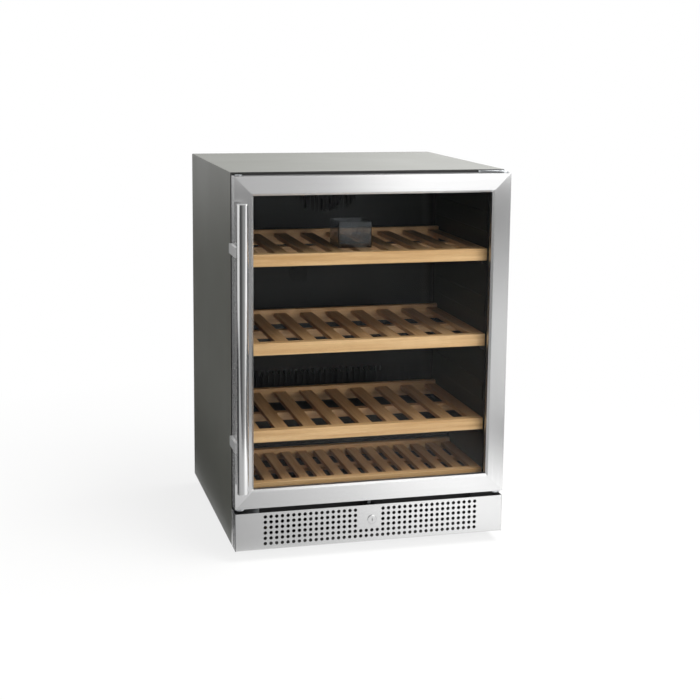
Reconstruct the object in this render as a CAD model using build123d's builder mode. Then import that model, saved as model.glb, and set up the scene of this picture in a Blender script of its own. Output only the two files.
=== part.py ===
"""Under-counter wine cooler: steel cabinet, glazed door, four beech racks and the cooling parts.

Millimetres. +X is to the right seen from the front, +Y to the back, +Z up. The floor is Z = 0,
X = 0 is the middle of the cabinet, and Y = 0 is half way between the handle and the back.
"""
import os
from math import cos, radians, sin, sqrt

from build123d import *

os.makedirs("parts", exist_ok=True)

# Cabinet
width = 595.0
height = 820.0
depth = 530.0
sheet = 1.0
front_hem = 2.0
back_hem = 15.0
bend = 2.0
foot_height = 25.0
side_wall = 32.0
top_wall = 34.0
back_wall = 50.0
foam_floor = 30.0
liner_sheet = 2.0
touch = 0.2
air = 0.3

# Door
door_stand = 44.0
door_depth = 32.0
door_gap_top = 5.0
door_gap_bottom = 10.5
rail_width = 40.0
bevel = 4.5
trim = 1.2
pane = 4.0
pane_space = 10.0
pane_overlap = 12.0
rear_hold = 4.0
spacer_width = 8.0
spacer_inset = 3.0
seal_inset = 13.5
seal_width = 10.0
seal_clear = 1.0
seal_neck = 6.0
seal_foot = 3.0
seal_head = 4.5

# Hinges
pin_inset = 13.0
pin_back = 8.0
pin_radius = 3.0
pin_play = 0.05
bush_wall = 2.5
bush_length = 14.0
bush_flange = 1.5
bush_rim = 2.0
pin_head = 1.2
hinge_plate = 3.0
hinge_nose = 11.0
nose_reach = 9.0
hinge_arm = 46.0
top_leg = 15.0
bottom_leg = 25.0

# Handle
bar_diameter = 24.0
bar_length = 600.0
bar_stand = 38.0
bar_inset = 9.5
bar_chamfer = 0.8
handle_drop = 3.0
bracket_inset = 97.0
bracket_height = 20.0
bracket_plate = 6.0
bracket_grip = 30.0
bracket_head = 16.0

# Kick plate and lock
kick_height = 81.5
kick_sheet = 1.2
hole_margin = 60.0
hole_rows = 6
hole_pitch_x = 12.28
hole_pitch_z = 11.74
hole_diameter = 7.6
hole_sides = 8
hole_rise = 42.6
bare_columns = 4
bare_rows = 4
lock_drop = 32.5
lock_ring = 10.0
lock_ring_proud = 2.5
barrel_radius = 8.0
barrel_length = 18.0
plug_radius = 5.0
key_slot = (1.6, 6.5)
key_depth = 8.0
cam_radius = 8.0
cam_thickness = 4.0
cam_pin_radius = 1.5
bolt_travel = 8.0
bolt_width = 6.0
bolt_thickness = 4.0
bolt_peek = 9.0
bolt_room = 1.0
yoke_width = 18.0
yoke_wall = 2.5
guide_size = (22.0, 8.0)
guide_drop = 12.0
guide_wall = 3.0

# Racks
rack_gap = 3.5
rack_front = 4.0
rack_depth = 346.0
board_thickness = 18.0
board_height = 26.0
slat_thickness = 9.0
slat_width = 28.0
slat_count = 9
low_slat_width = 21.0
low_slat_count = 14
low_rack_clear = 6.0
rail_thickness = 20.0
stop_thickness = 14.0
stop_rise = 8.0
edge_round = 1.5
lowest_rack_rise = 18.0
low_rack_pitch = 113.5
top_room = 137.0
runner_reach = 12.0
runner_height = 12.0
runner_setback = 6.0
band_rise = 34.0
band_height = 45.0
band_proud = 2.6

# Liner step, rear cover and its air openings
step_front = 234.0
step_top = 88.0
cover_front = 391.0
cover_sheet = 2.0
cover_corner = 26.0
slot_margin = 38.0
slot_pitch = 14.2
slot_width = 6.0
slot_height = 58.0
slot_rise = 22.0
grille_half_width = 75.0
grille_half_height = 46.0
grille_count = 15
grille_bar = 4.6
filter_radius = 24.0
filter_x = -64.0
filter_drop = 105.0
filter_depth = 6.0
filter_rim = 3.0
filter_mesh = 7.0
filter_mesh_hole = 5.0
filter_cells = 6

# Cooling parts
fan_size = 92.0
fan_drop = 6.0
cooler_fan_size = 120.0
fan_depth = 25.0
fan_wall = 3.0
fan_hub = 16.0
fan_shaft = 2.5
fan_strut = 5.0
strut_count = 3
fan_plate = 3.0
blade_count = 7
blade_tip_gap = 1.5
blade_thickness = 1.6
blade_chord = 16.0
blade_root = 2.0
blade_pitch = 48.0
rotor_play = 1.0
evaporator_size = (300.0, 46.0, 200.0)
evaporator_rise = 60.0
evaporator_tab = 8.0
condenser_size = (220.0, 50.0, 126.0)
condenser_inset = 147.5
condenser_gap = 10.0
core_depth = 16.0
core_inset = 6.0
fin_pitch = 12.0
fin_thickness = 1.0
compressor_radius = 80.0
compressor_height = 128.0
compressor_inset = 167.5
compressor_y = 398.0
compressor_foot = 66.0
compressor_seam = 4.0
seam_height = 8.0
seam_rise = 58.0
dome = 45.0
belly = 14.0
mount_height = 12.0
mount_radius = 10.0
mount_plate = 3.0
tray_size = (130.0, 110.0)
tray_height = 14.0
tray_corner = 12.0
tray_wall = 1.5
tube_radius = 4.0
tube_bend = 11.0

# Ceiling parts and the humidity tray
control_size = (150.0, 70.0, 14.0)
control_back = 12.0
control_round = 6.0
light_size = (300.0, 16.0, 6.0)
light_gap = 8.0
light_round = 4.0
humid_size = (75.0, 80.0, 56.0)
humid_wall = 2.0
humid_x = -15.0
humid_corner = 5.0
humid_back = 62.0

# Feet, base and back
base_sheet = 2.0
base_lip = 15.0
foot_inset_x = 48.0
foot_inset_y = 60.0
foot_radius = 20.0
foot_pad = 10.0
foot_neck = 9.0
foot_edge = 3.0
foot_sides = 12
stud_radius = 5.0
stud_length = 30.0
nut_height = 8.0
nut_radius = 9.5
crossbar_height = 27.0
crossbar_depth = 20.0
louvre_margin = 80.0
louvre_rows = 2
louvre_width = 8.0
louvre_height = 60.0
louvre_pitch = 42.0
louvre_gap = 12.0
gland_radius = 10.0
gland_bore = 4.0
gland_inset = 35.5
gland_lip = 2.0
gland_inner = 4.0
gland_rise = 40.0

# Places worked out from the sizes above
half = width / 2
reach = door_stand + bar_stand + bar_diameter / 2
front = -(depth - reach) / 2
back = front + depth
door_front = front - door_stand
door_back = door_front + door_depth
body_bottom = foot_height
kick_top = body_bottom + kick_height
door_bottom = kick_top + door_gap_bottom
door_top = height - door_gap_top
door_mid = (door_bottom + door_top) / 2
door_half_height = (door_top - door_bottom) / 2
liner_half = half - side_wall
ceiling = height - top_wall
floor = door_bottom + seal_inset + seal_width + seal_clear
liner_back = back - back_wall
step_y = front + step_front
step_z = floor + step_top
cover_y = front + cover_front
foam_bottom = floor - liner_sheet - foam_floor
rack_half = liner_half - rack_gap
rack_y = front - rack_front
low_top = floor + lowest_rack_rise
rack_pitch = (ceiling - top_room - low_top - low_rack_pitch) / 2
rack_tops = [low_top + low_rack_pitch + rack_pitch * n for n in (2, 1, 0)] + [low_top]
pin_x = half - pin_inset
pin_y = door_back - pin_back
glass_half = half - rail_width + pane_overlap
glass_half_height = door_half_height - rail_width + pane_overlap
glass_y = door_front + bevel + air
rear_frame_front = glass_y + 2 * pane + pane_space + touch
rear_frame_depth = door_back - rear_frame_front
base_top = body_bottom + base_sheet
fan_z = ceiling - fan_size / 2 - fan_drop
step_under = step_z - liner_sheet - foam_floor
step_rear = step_y + liner_sheet + foam_floor
bar_x = -half + bar_inset
gland_x = half - gland_inset
compressor_x = half - compressor_inset
condenser_x = -half + condenser_inset


def facade(y):
    """Upright plane at depth y, drawn as seen from the front; a negative extrude goes back."""
    return Plane.XZ.offset(-y)


def save(piece, name):
    """Label a finished piece and write it under its own name."""
    piece.part.label = name
    export_step(piece.part, f"parts/{name}.step")


def ring(half_w, half_h, band, y, thickness, centre=door_mid):
    """Flat rectangular ring of the given band, its front face at y, inside an open builder."""
    with BuildSketch(facade(y)) as outline:
        with Locations((0, centre)):
            Rectangle(2 * half_w, 2 * half_h)
            Rectangle(2 * (half_w - band), 2 * (half_h - band), mode=Mode.SUBTRACT)
    extrude(outline.sketch, amount=-thickness)


def upright_box(x0, x1, y0, y1, z0, z1, mode=Mode.ADD):
    """Box between two corners, inside an open builder."""
    with BuildSketch(Plane.XY.offset(z0)) as outline:
        with Locations(((x0 + x1) / 2, (y0 + y1) / 2)):
            Rectangle(x1 - x0, y1 - y0)
    extrude(outline.sketch, amount=z1 - z0, mode=mode)


# Outer steel wrap: sides and top in one folded sheet, with a narrow front hem and a wide back one
with BuildPart() as wrap:
    with BuildSketch(facade(front)):
        with Locations((0, (body_bottom + height) / 2)):
            Rectangle(width, height - body_bottom)
    extrude(amount=-depth)
    fillet(wrap.edges().filter_by(Axis.Y).group_by(Axis.Z)[-1], radius=bend)
    with BuildSketch(facade(front + sheet)):
        with Locations((0, (body_bottom + height - sheet) / 2)):
            Rectangle(width - 2 * sheet, height - sheet - body_bottom)
    extrude(amount=-(depth - 2 * sheet), mode=Mode.SUBTRACT)
    for y, fold in ((front, front_hem), (back - sheet, back_hem)):
        with BuildSketch(facade(y)):
            with Locations((0, (body_bottom + height - fold) / 2)):
                Rectangle(width - 2 * fold, height - fold - body_bottom)
        extrude(amount=-sheet, mode=Mode.SUBTRACT)
save(wrap, "cabinet_wrap")

# Inner liner: black tub with a step over the machine space and a flange round its mouth
with BuildPart() as liner:
    with BuildSketch(Plane.YZ):
        with BuildLine():
            Polyline(
                (front, floor - liner_sheet),
                (step_y + liner_sheet, floor - liner_sheet),
                (step_y + liner_sheet, step_z - liner_sheet),
                (liner_back + liner_sheet, step_z - liner_sheet),
                (liner_back + liner_sheet, ceiling + liner_sheet),
                (front, ceiling + liner_sheet),
                close=True,
            )
        make_face()
    extrude(amount=liner_half + liner_sheet, both=True)
    with BuildSketch(facade(front)):
        with Locations((0, (foam_bottom + height - front_hem) / 2)):
            Rectangle(width - 2 * front_hem, height - front_hem - foam_bottom)
    extrude(amount=-liner_sheet)
    with BuildSketch(Plane.YZ):
        with BuildLine():
            Polyline(
                (front, floor),
                (step_y, floor),
                (step_y, step_z),
                (liner_back, step_z),
                (liner_back, ceiling),
                (front, ceiling),
                close=True,
            )
        make_face()
    extrude(amount=liner_half, both=True, mode=Mode.SUBTRACT)
save(liner, "liner")

# Foam between the wrap and the liner, stepped over the machine space
with BuildPart() as foam:
    with BuildSketch(Plane.YZ):
        with BuildLine():
            Polyline(
                (front + liner_sheet, foam_bottom),
                (step_rear, foam_bottom),
                (step_rear, step_under),
                (back - 2 * sheet, step_under),
                (back - 2 * sheet, height - sheet),
                (front + liner_sheet, height - sheet),
                close=True,
            )
        make_face()
    extrude(amount=half - sheet, both=True)
    with BuildSketch(Plane.YZ):
        with BuildLine():
            Polyline(
                (front, floor - liner_sheet),
                (step_y + liner_sheet, floor - liner_sheet),
                (step_y + liner_sheet, step_z - liner_sheet),
                (liner_back + liner_sheet, step_z - liner_sheet),
                (liner_back + liner_sheet, ceiling + liner_sheet),
                (front, ceiling + liner_sheet),
                close=True,
            )
        make_face()
    extrude(amount=liner_half + liner_sheet, both=True, mode=Mode.SUBTRACT)
save(foam, "insulation")

# Base pan with lips, and weld nuts for the foot studs
foot_places = [
    (side * (half - foot_inset_x), y)
    for y in (front + foot_inset_y, back - foot_inset_y)
    for side in (-1, 1)
]
with BuildPart() as base:
    pan_half = half - sheet - touch
    pan_front = front + liner_sheet
    pan_back = back - 2 * sheet - touch
    upright_box(-pan_half, pan_half, pan_front, pan_back, body_bottom, base_top + base_lip)
    upright_box(
        -pan_half + base_sheet,
        pan_half - base_sheet,
        pan_front + base_sheet,
        pan_back - base_sheet,
        base_top,
        base_top + base_lip,
        mode=Mode.SUBTRACT,
    )
    with BuildSketch(Plane.XY.offset(body_bottom)):
        with Locations(*foot_places):
            Circle(stud_radius + air)
    extrude(amount=base_sheet, mode=Mode.SUBTRACT)
    with BuildSketch(Plane.XY.offset(base_top)):
        with Locations(*foot_places):
            RegularPolygon(nut_radius, 6)
            Circle(stud_radius + air, mode=Mode.SUBTRACT)
    extrude(amount=nut_height)
save(base, "base_pan")

# Levelling feet: a twelve-sided pad, a hexagon for the spanner and a round stud
for foot_name, foot_place in zip(("front_left", "front_right", "rear_left", "rear_right"), foot_places):
    with BuildPart() as foot:
        with BuildSketch(Plane.XY):
            with Locations(foot_place):
                RegularPolygon(foot_radius, foot_sides)
        extrude(amount=foot_pad)
        chamfer(foot.faces().sort_by(Axis.Z)[-1].edges(), length=foot_edge)
        with BuildSketch(Plane.XY.offset(foot_pad)):
            with Locations(foot_place):
                RegularPolygon(foot_neck, 6)
        extrude(amount=body_bottom - air - foot_pad)
        with BuildSketch(Plane.XY.offset(body_bottom - air)):
            with Locations(foot_place):
                Circle(stud_radius)
        extrude(amount=stud_length)
    save(foot, f"foot_{foot_name}")

# Lower front crossbar that carries the bottom hinge
with BuildPart() as crossbar:
    with BuildSketch(Plane.YZ):
        with Locations((front + crossbar_depth / 2, foam_bottom - crossbar_height / 2)):
            Rectangle(crossbar_depth, crossbar_height)
            Rectangle(crossbar_depth - 2 * base_sheet, crossbar_height - 2 * base_sheet, mode=Mode.SUBTRACT)
    extrude(amount=half - front_hem - touch, both=True)
save(crossbar, "lower_crossbar")

# Back panel over the foam
with BuildPart() as back_panel:
    upright_box(
        -half + sheet + touch,
        half - sheet - touch,
        back - 2 * sheet,
        back - sheet,
        step_under,
        height - sheet - touch,
    )
save(back_panel, "back_panel")

# Rear machine cover with two rows of air slots and the hole for the cord gland
louvre_count = int((width - 2 * louvre_margin) // louvre_pitch)
with BuildPart() as rear_cover:
    upright_box(
        -half + sheet + touch,
        half - sheet - touch,
        back - 2 * sheet,
        back - sheet,
        body_bottom,
        step_under - touch,
    )
    with BuildSketch(facade(back - 2 * sheet)):
        with Locations((0, (body_bottom + step_under) / 2)):
            with GridLocations(louvre_pitch, louvre_height + louvre_gap, louvre_count, louvre_rows):
                Rectangle(louvre_width, louvre_height)
        with Locations((gland_x, body_bottom + gland_rise)):
            Circle(gland_radius - gland_lip)
    extrude(amount=-sheet, mode=Mode.SUBTRACT)
save(rear_cover, "rear_machine_cover")

# Rubber gland for the mains lead, snapped into the rear cover
with BuildPart() as gland:
    with BuildSketch(Plane.XY.offset(body_bottom + gland_rise)):
        with BuildLine():
            Polyline(
                (gland_x + gland_bore, back - 2 * sheet - gland_inner),
                (gland_x + gland_radius - gland_lip - touch, back - 2 * sheet - gland_inner),
                (gland_x + gland_radius - gland_lip - touch, back - sheet),
                (gland_x + gland_radius, back - sheet),
                (gland_x + gland_radius, back),
                (gland_x + gland_bore, back),
                close=True,
            )
        make_face()
    revolve(axis=Axis((gland_x, 0, body_bottom + gland_rise), (0, 1, 0)))
save(gland, "cord_gland")

# Rack runners and the moulded bands above the racks, on both side walls
with BuildPart() as runners:
    run_front = front + runner_setback
    run_length = rack_y + rack_depth - run_front
    for side in (-1, 1):
        wall_x = side * liner_half
        for top in rack_tops[:-1]:
            under = top - board_height - air
            with BuildSketch(facade(run_front)):
                with BuildLine():
                    Polyline(
                        (wall_x, under),
                        (wall_x - side * runner_reach, under),
                        (wall_x - side * runner_reach, under - runner_height / 2),
                        (wall_x, under - runner_height),
                        close=True,
                    )
                make_face()
                with BuildLine():
                    Polyline(
                        (wall_x, top + band_rise),
                        (wall_x - side * band_proud, top + band_rise + band_proud),
                        (wall_x - side * band_proud, top + band_rise + band_height - band_proud),
                        (wall_x, top + band_rise + band_height),
                        close=True,
                    )
                make_face()
            extrude(amount=-run_length)
save(runners, "rack_runners")

# Moulded rear cover: a sheet whose upright edges curve forward to meet the side walls
slot_bottom = rack_tops[2] - slot_rise
filter_z = rack_tops[0] - filter_drop
slot_count = int(2 * (liner_half - slot_margin) // slot_pitch) + 1
with BuildPart() as cover:
    cover_half = liner_half - touch
    with BuildSketch(Plane.XY.offset(step_z + touch)):
        with BuildLine():
            Polyline(
                (-cover_half, cover_y - cover_corner),
                (-cover_half, cover_y + cover_sheet),
                (cover_half, cover_y + cover_sheet),
                (cover_half, cover_y - cover_corner),
                (cover_half - cover_sheet, cover_y - cover_corner),
            )
            RadiusArc(
                (cover_half - cover_sheet, cover_y - cover_corner),
                (cover_half - cover_corner, cover_y),
                -cover_corner,
            )
            Line((cover_half - cover_corner, cover_y), (-cover_half + cover_corner, cover_y))
            RadiusArc(
                (-cover_half + cover_corner, cover_y),
                (-cover_half + cover_sheet, cover_y - cover_corner),
                -cover_corner,
            )
            Line((-cover_half + cover_sheet, cover_y - cover_corner), (-cover_half, cover_y - cover_corner))
        make_face()
    extrude(amount=ceiling - step_z - 2 * touch)
    with BuildSketch(facade(cover_y)):
        with Locations((0, slot_bottom + slot_height / 2)):
            with GridLocations(slot_pitch, slot_height, slot_count, 1):
                Rectangle(slot_width, slot_height)
        for n in range(grille_count):
            share = (2 * n + 1) / grille_count - 1
            chord = grille_half_height * sqrt(1 - share * share)
            with Locations((share * grille_half_width, fan_z)):
                Rectangle(2 * grille_half_width / grille_count - grille_bar, 2 * chord)
        with Locations((filter_x, filter_z)):
            Circle(filter_radius - filter_rim)
    extrude(amount=-cover_sheet, mode=Mode.SUBTRACT)
save(cover, "rear_cover")

# Round charcoal filter in the rear cover, with a diamond mesh
with BuildPart() as charcoal:
    with BuildSketch(facade(cover_y - filter_rim)):
        with Locations((filter_x, filter_z)):
            Circle(filter_radius)
    extrude(amount=-filter_rim)
    with BuildSketch(facade(cover_y)):
        with Locations((filter_x, filter_z)):
            Circle(filter_radius - filter_rim - touch)
    extrude(amount=-filter_depth)
    with BuildSketch(facade(cover_y - filter_rim)):
        with Locations((filter_x, filter_z)):
            with HexLocations(filter_mesh / 2, filter_cells, filter_cells):
                RegularPolygon(filter_mesh_hole / 2, 4)
    extrude(amount=-filter_rim, mode=Mode.SUBTRACT)
save(charcoal, "charcoal_filter")


def fan_frame(size, x, y, z, name):
    """Square fan housing with a round duct, three struts at the back and a fixed shaft."""
    with BuildPart() as frame:
        with BuildSketch(facade(y)):
            with Locations((x, z)):
                RectangleRounded(size, size, fan_wall * 2)
                Circle(size / 2 - fan_wall, mode=Mode.SUBTRACT)
        extrude(amount=-fan_depth)
        with BuildSketch(facade(y + fan_depth - fan_plate)):
            with Locations((x, z)):
                Circle(fan_hub)
                with PolarLocations((size / 2 - fan_wall + fan_hub) / 2, strut_count, start_angle=90):
                    Rectangle(size / 2 - fan_hub, fan_strut)
        extrude(amount=-fan_plate)
        with BuildSketch(facade(y + 2 * rotor_play)):
            with Locations((x, z)):
                Circle(fan_shaft)
        extrude(amount=-(fan_depth - 2 * rotor_play))
    save(frame, name)


def fan_rotor(size, x, y, z, name):
    """Hub with pitched blades, running on the fixed shaft of its housing."""
    tip = size / 2 - fan_wall - blade_tip_gap
    deep = fan_depth - fan_plate - 3 * rotor_play
    with BuildPart() as rotor:
        with BuildSketch(facade(y + rotor_play)):
            with Locations((x, z)):
                Circle(fan_hub)
        extrude(amount=-deep)
        for n in range(blade_count):
            angle = radians(360 * n / blade_count)
            out = Vector(cos(angle), 0, sin(angle))
            root = Plane(
                origin=Vector(x, y + rotor_play + deep / 2, z) + out * (fan_hub - blade_root),
                x_dir=(0, 1, 0),
                z_dir=(out.X, out.Y, out.Z),
            )
            with BuildSketch(root.rotated((0, 0, blade_pitch))):
                Rectangle(blade_chord, blade_thickness)
            extrude(amount=tip - fan_hub + 2 * blade_root)
        with BuildSketch(facade(y)):
            with Locations((x, z)):
                Circle(tip)
        extrude(amount=-(deep + 2 * rotor_play), mode=Mode.INTERSECT)
        with BuildSketch(facade(y + rotor_play)):
            with Locations((x, z)):
                Circle(fan_shaft + pin_play)
        extrude(amount=-deep, mode=Mode.SUBTRACT)
    save(rotor, name)


# Fan behind the grille of the rear cover
fan_y = cover_y + cover_sheet
fan_frame(fan_size, 0, fan_y, fan_z, "evaporator_fan_frame")
fan_rotor(fan_size, 0, fan_y, fan_z, "evaporator_fan_rotor")


def finned_block(x, y, z, size, name, tabs):
    """Heat exchanger: a core slab with plate fins through it, seated on two end plates."""
    long, deep, tall = size
    with BuildPart() as block:
        core_y = y + (deep - core_depth) / 2
        core_z = z + core_inset
        upright_box(x - long / 2, x + long / 2, core_y, core_y + core_depth, core_z, z + tall - core_inset)
        count = int(long // fin_pitch)
        for n in range(count + 1):
            fin_x = x + (n - count / 2) * fin_pitch
            fin_back = y + deep + (tabs if n in (0, count) else 0)
            upright_box(fin_x - fin_thickness / 2, fin_x + fin_thickness / 2, y, fin_back, z, z + tall)
    save(block, name)


# Evaporator hung on the liner's back wall, under the fan
evaporator_z = step_z + evaporator_rise
evaporator_y = liner_back - touch - evaporator_size[1] - evaporator_tab
finned_block(0, evaporator_y, evaporator_z, evaporator_size, "evaporator", evaporator_tab)

# Condenser on the base pan and its fan, in the machine space
condenser_y = step_rear + condenser_gap
finned_block(condenser_x, condenser_y, base_top + touch, condenser_size, "condenser", 0)
cooler_fan_y = condenser_y + condenser_size[1] + touch
cooler_fan_z = base_top + touch + cooler_fan_size / 2
fan_frame(cooler_fan_size, condenser_x, cooler_fan_y, cooler_fan_z, "condenser_fan_frame")
fan_rotor(cooler_fan_size, condenser_x, cooler_fan_y, cooler_fan_z, "condenser_fan_rotor")

# Compressor: a domed steel pot with a weld seam, on a foot plate with rubber mounts
pot_y = front + compressor_y
pot_bottom = base_top + mount_height + mount_plate
mount_places = [
    (compressor_x + side * compressor_foot, pot_y + end * compressor_foot)
    for side in (-1, 1)
    for end in (-1, 1)
]
with BuildPart() as compressor:
    pot_radius = compressor_radius - compressor_seam
    pot_top = pot_bottom + compressor_height
    with BuildSketch(Plane.XZ.offset(-pot_y)):
        with BuildLine():
            Polyline(
                (compressor_x, pot_bottom),
                (compressor_x + pot_radius - belly, pot_bottom),
                (compressor_x + pot_radius, pot_bottom + belly),
                (compressor_x + pot_radius, pot_bottom + seam_rise),
                (compressor_x + compressor_radius, pot_bottom + seam_rise),
                (compressor_x + compressor_radius, pot_bottom + seam_rise + seam_height),
                (compressor_x + pot_radius, pot_bottom + seam_rise + seam_height),
                (compressor_x + pot_radius, pot_top - dome),
                (compressor_x + pot_radius - dome / 3, pot_top - dome / 3),
                (compressor_x + pot_radius - dome, pot_top),
                (compressor_x, pot_top),
                close=True,
            )
        make_face()
    revolve(axis=Axis((compressor_x, pot_y, 0), (0, 0, 1)))
    plate_side = 2 * (compressor_foot + mount_radius + compressor_seam)
    with BuildSketch(Plane.XY.offset(pot_bottom - mount_plate)):
        with Locations((compressor_x, pot_y)):
            RectangleRounded(plate_side, plate_side, mount_radius)
        with Locations(*mount_places):
            Circle(mount_radius / 2 + touch, mode=Mode.SUBTRACT)
    extrude(amount=mount_plate)
save(compressor, "compressor")

with BuildPart() as mounts:
    with BuildSketch(Plane.XY.offset(base_top)):
        with Locations(*mount_places):
            Circle(mount_radius)
    extrude(amount=mount_height)
    with BuildSketch(Plane.XY.offset(base_top)):
        with Locations(*mount_places):
            Circle(mount_radius / 2)
    extrude(amount=mount_height + 2 * mount_plate)
save(mounts, "compressor_mounts")

# Shallow tray on the compressor that boils off the defrost water
tray_z = pot_bottom + compressor_height
with BuildPart() as tray:
    with BuildSketch(Plane.XY.offset(tray_z)):
        with Locations((compressor_x, pot_y)):
            RectangleRounded(*tray_size, tray_corner)
    extrude(amount=tray_height)
    with BuildSketch(Plane.XY.offset(tray_z + tray_wall)):
        with Locations((compressor_x, pot_y)):
            RectangleRounded(*[side - 2 * tray_wall for side in tray_size], tray_corner - tray_wall)
    extrude(amount=tray_height - tray_wall, mode=Mode.SUBTRACT)
save(tray, "evaporation_tray")

# Copper tube that takes the hot gas to the condenser
tube_x = compressor_x - compressor_radius + compressor_seam - touch
tube_z = pot_bottom + seam_rise - belly
tube_end = condenser_x + condenser_size[0] / 2 + touch
tube_turn = (tube_x + tube_end) / 2
with BuildPart() as discharge:
    with BuildLine():
        path = FilletPolyline(
            (tube_x, pot_y, tube_z),
            (tube_turn, pot_y, tube_z),
            (tube_turn, condenser_y + condenser_size[1] / 2, tube_z),
            (tube_end, condenser_y + condenser_size[1] / 2, tube_z),
            radius=tube_bend,
        )
    with BuildSketch(Plane(origin=path @ 0, z_dir=path % 0)):
        Circle(tube_radius)
    sweep()
save(discharge, "discharge_tube")

# Ceiling: control module and light strip
with BuildPart() as control:
    with BuildSketch(Plane.XY.offset(ceiling - control_size[2])):
        with Locations((0, front + control_back + control_size[1] / 2)):
            RectangleRounded(control_size[0], control_size[1], control_round)
    extrude(amount=control_size[2])
    chamfer(control.faces().sort_by(Axis.Z)[0].edges(), length=control_round / 2)
save(control, "control_module")

with BuildPart() as light:
    light_y = front + control_back + control_size[1] + light_gap
    with BuildSketch(Plane.XY.offset(ceiling - light_size[2])):
        with Locations((0, light_y + light_size[1] / 2)):
            RectangleRounded(light_size[0], light_size[1], light_round)
    extrude(amount=light_size[2])
save(light, "light_strip")


def door_frame_ring():
    """Folded door trim: face and inner bevel all round, returns on the two sides, inside an open builder."""
    face_band = rail_width - bevel
    ring(half, door_half_height, face_band, door_front, trim)
    for side in (-1, 1):
        x0, x1 = sorted((side * half, side * (half - trim)))
        upright_box(x0, x1, door_front, door_back, door_bottom, door_top)
    slope = trim * sqrt(2)
    lip_w, lip_h = half - face_band, door_half_height - face_band
    for grow, mode in ((slope, Mode.ADD), (0, Mode.SUBTRACT)):
        sections = []
        for y, inward in ((door_front, 0), (door_front + bevel, bevel)):
            with BuildSketch(facade(y)) as section:
                with Locations((0, door_mid)):
                    Rectangle(2 * (lip_w + grow - inward), 2 * (lip_h + grow - inward))
            sections.append(section.sketch)
        loft(sections, mode=mode)


def keep_side(points):
    """Keep the part of the trim inside a mitred outline, inside an open builder."""
    with BuildSketch(facade(door_front - 1)) as outline:
        with BuildLine():
            Polyline(*points, close=True)
        make_face()
    extrude(outline.sketch, amount=-(door_depth + 2), mode=Mode.INTERSECT)


def bolt_slot():
    """Slot under the door that takes the raised lock bolt, inside an open builder."""
    room_x = bolt_width / 2 + bolt_room
    room_y = bolt_thickness / 2 + bolt_room
    upright_box(-room_x, room_x, bolt_y - room_y, bolt_y + room_y, door_bottom, bolt_top, mode=Mode.SUBTRACT)


def hinge_holes(radius, z0, z1, side):
    """Round hole on a hinge axis, inside an open builder."""
    with BuildSketch(Plane.XY.offset(z0)) as outline:
        with Locations((side * pin_x, pin_y)):
            Circle(radius)
    extrude(outline.sketch, amount=z1 - z0, mode=Mode.SUBTRACT)


# Door trim: four mitred rails
mitre = rail_width
corner_out = {
    "top": [
        (-half, door_top),
        (half, door_top),
        (half - mitre, door_top - mitre),
        (-half + mitre, door_top - mitre),
    ],
    "bottom": [
        (-half, door_bottom),
        (half, door_bottom),
        (half - mitre, door_bottom + mitre),
        (-half + mitre, door_bottom + mitre),
    ],
    "left": [
        (-half, door_bottom),
        (-half, door_top),
        (-half + mitre, door_top - mitre),
        (-half + mitre, door_bottom + mitre),
    ],
    "right": [
        (half, door_bottom),
        (half, door_top),
        (half - mitre, door_top - mitre),
        (half - mitre, door_bottom + mitre),
    ],
}
bolt_y = door_front + barrel_length + cam_thickness + 2 * air + bolt_thickness / 2
bush_radius = pin_radius + pin_play + bush_wall
for rail_name, outline in corner_out.items():
    with BuildPart() as rail:
        door_frame_ring()
        keep_side(outline)
    save(rail, f"door_rail_{rail_name}")

# Door core behind the trim, rebated for the glass, with bush bores and the lock slot
core_front = door_front + trim + touch
bolt_top = kick_top + bolt_peek + bolt_travel + bolt_room
core_half = half - trim - touch


def door_bores():
    """Bush bores at the four door corners, inside an open builder."""
    for side in (-1, 1):
        hinge_holes(bush_radius + touch, door_top - bush_length - touch, door_top, side)
        hinge_holes(bush_radius + touch, door_bottom, door_bottom + bush_length + touch, side)


with BuildPart() as core:
    core_band = core_half - glass_half - air
    ring(core_half, door_half_height, core_band, core_front, rear_frame_front - core_front)
    door_bores()
    bolt_slot()
save(core, "door_core")

with BuildPart() as rear_frame:
    rear_band = core_half - glass_half + rear_hold
    ring(core_half, door_half_height, rear_band, rear_frame_front, rear_frame_depth)
    door_bores()
    bolt_slot()
save(rear_frame, "door_rear_frame")

# Insulating glass: outer pane, spacer, inner pane
with BuildPart() as outer_pane:
    with BuildSketch(facade(glass_y)):
        with Locations((0, door_mid)):
            Rectangle(2 * glass_half, 2 * glass_half_height)
    extrude(amount=-pane)
save(outer_pane, "glass_outer")

with BuildPart() as spacer:
    spacer_half, spacer_half_height = glass_half - spacer_inset, glass_half_height - spacer_inset
    ring(spacer_half, spacer_half_height, spacer_width, glass_y + pane, pane_space)
save(spacer, "glass_spacer")

with BuildPart() as inner_pane:
    with BuildSketch(facade(glass_y + pane + pane_space)):
        with Locations((0, door_mid)):
            Rectangle(2 * glass_half, 2 * glass_half_height)
    extrude(amount=-pane)
save(inner_pane, "glass_inner")

# Door seal: foot, waist and magnetic head
with BuildPart() as seal:
    seal_half, seal_half_height = half - seal_inset, door_half_height - seal_inset
    waist = (seal_width - seal_neck) / 2
    seal_depth = front - air - door_back
    ring(seal_half, seal_half_height, seal_width, door_back, seal_foot)
    neck_depth = seal_depth - seal_foot - seal_head
    ring(seal_half - waist, seal_half_height - waist, seal_neck, door_back + seal_foot, neck_depth)
    ring(seal_half, seal_half_height, seal_width, front - air - seal_head, seal_head)
save(seal, "door_seal")

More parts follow.
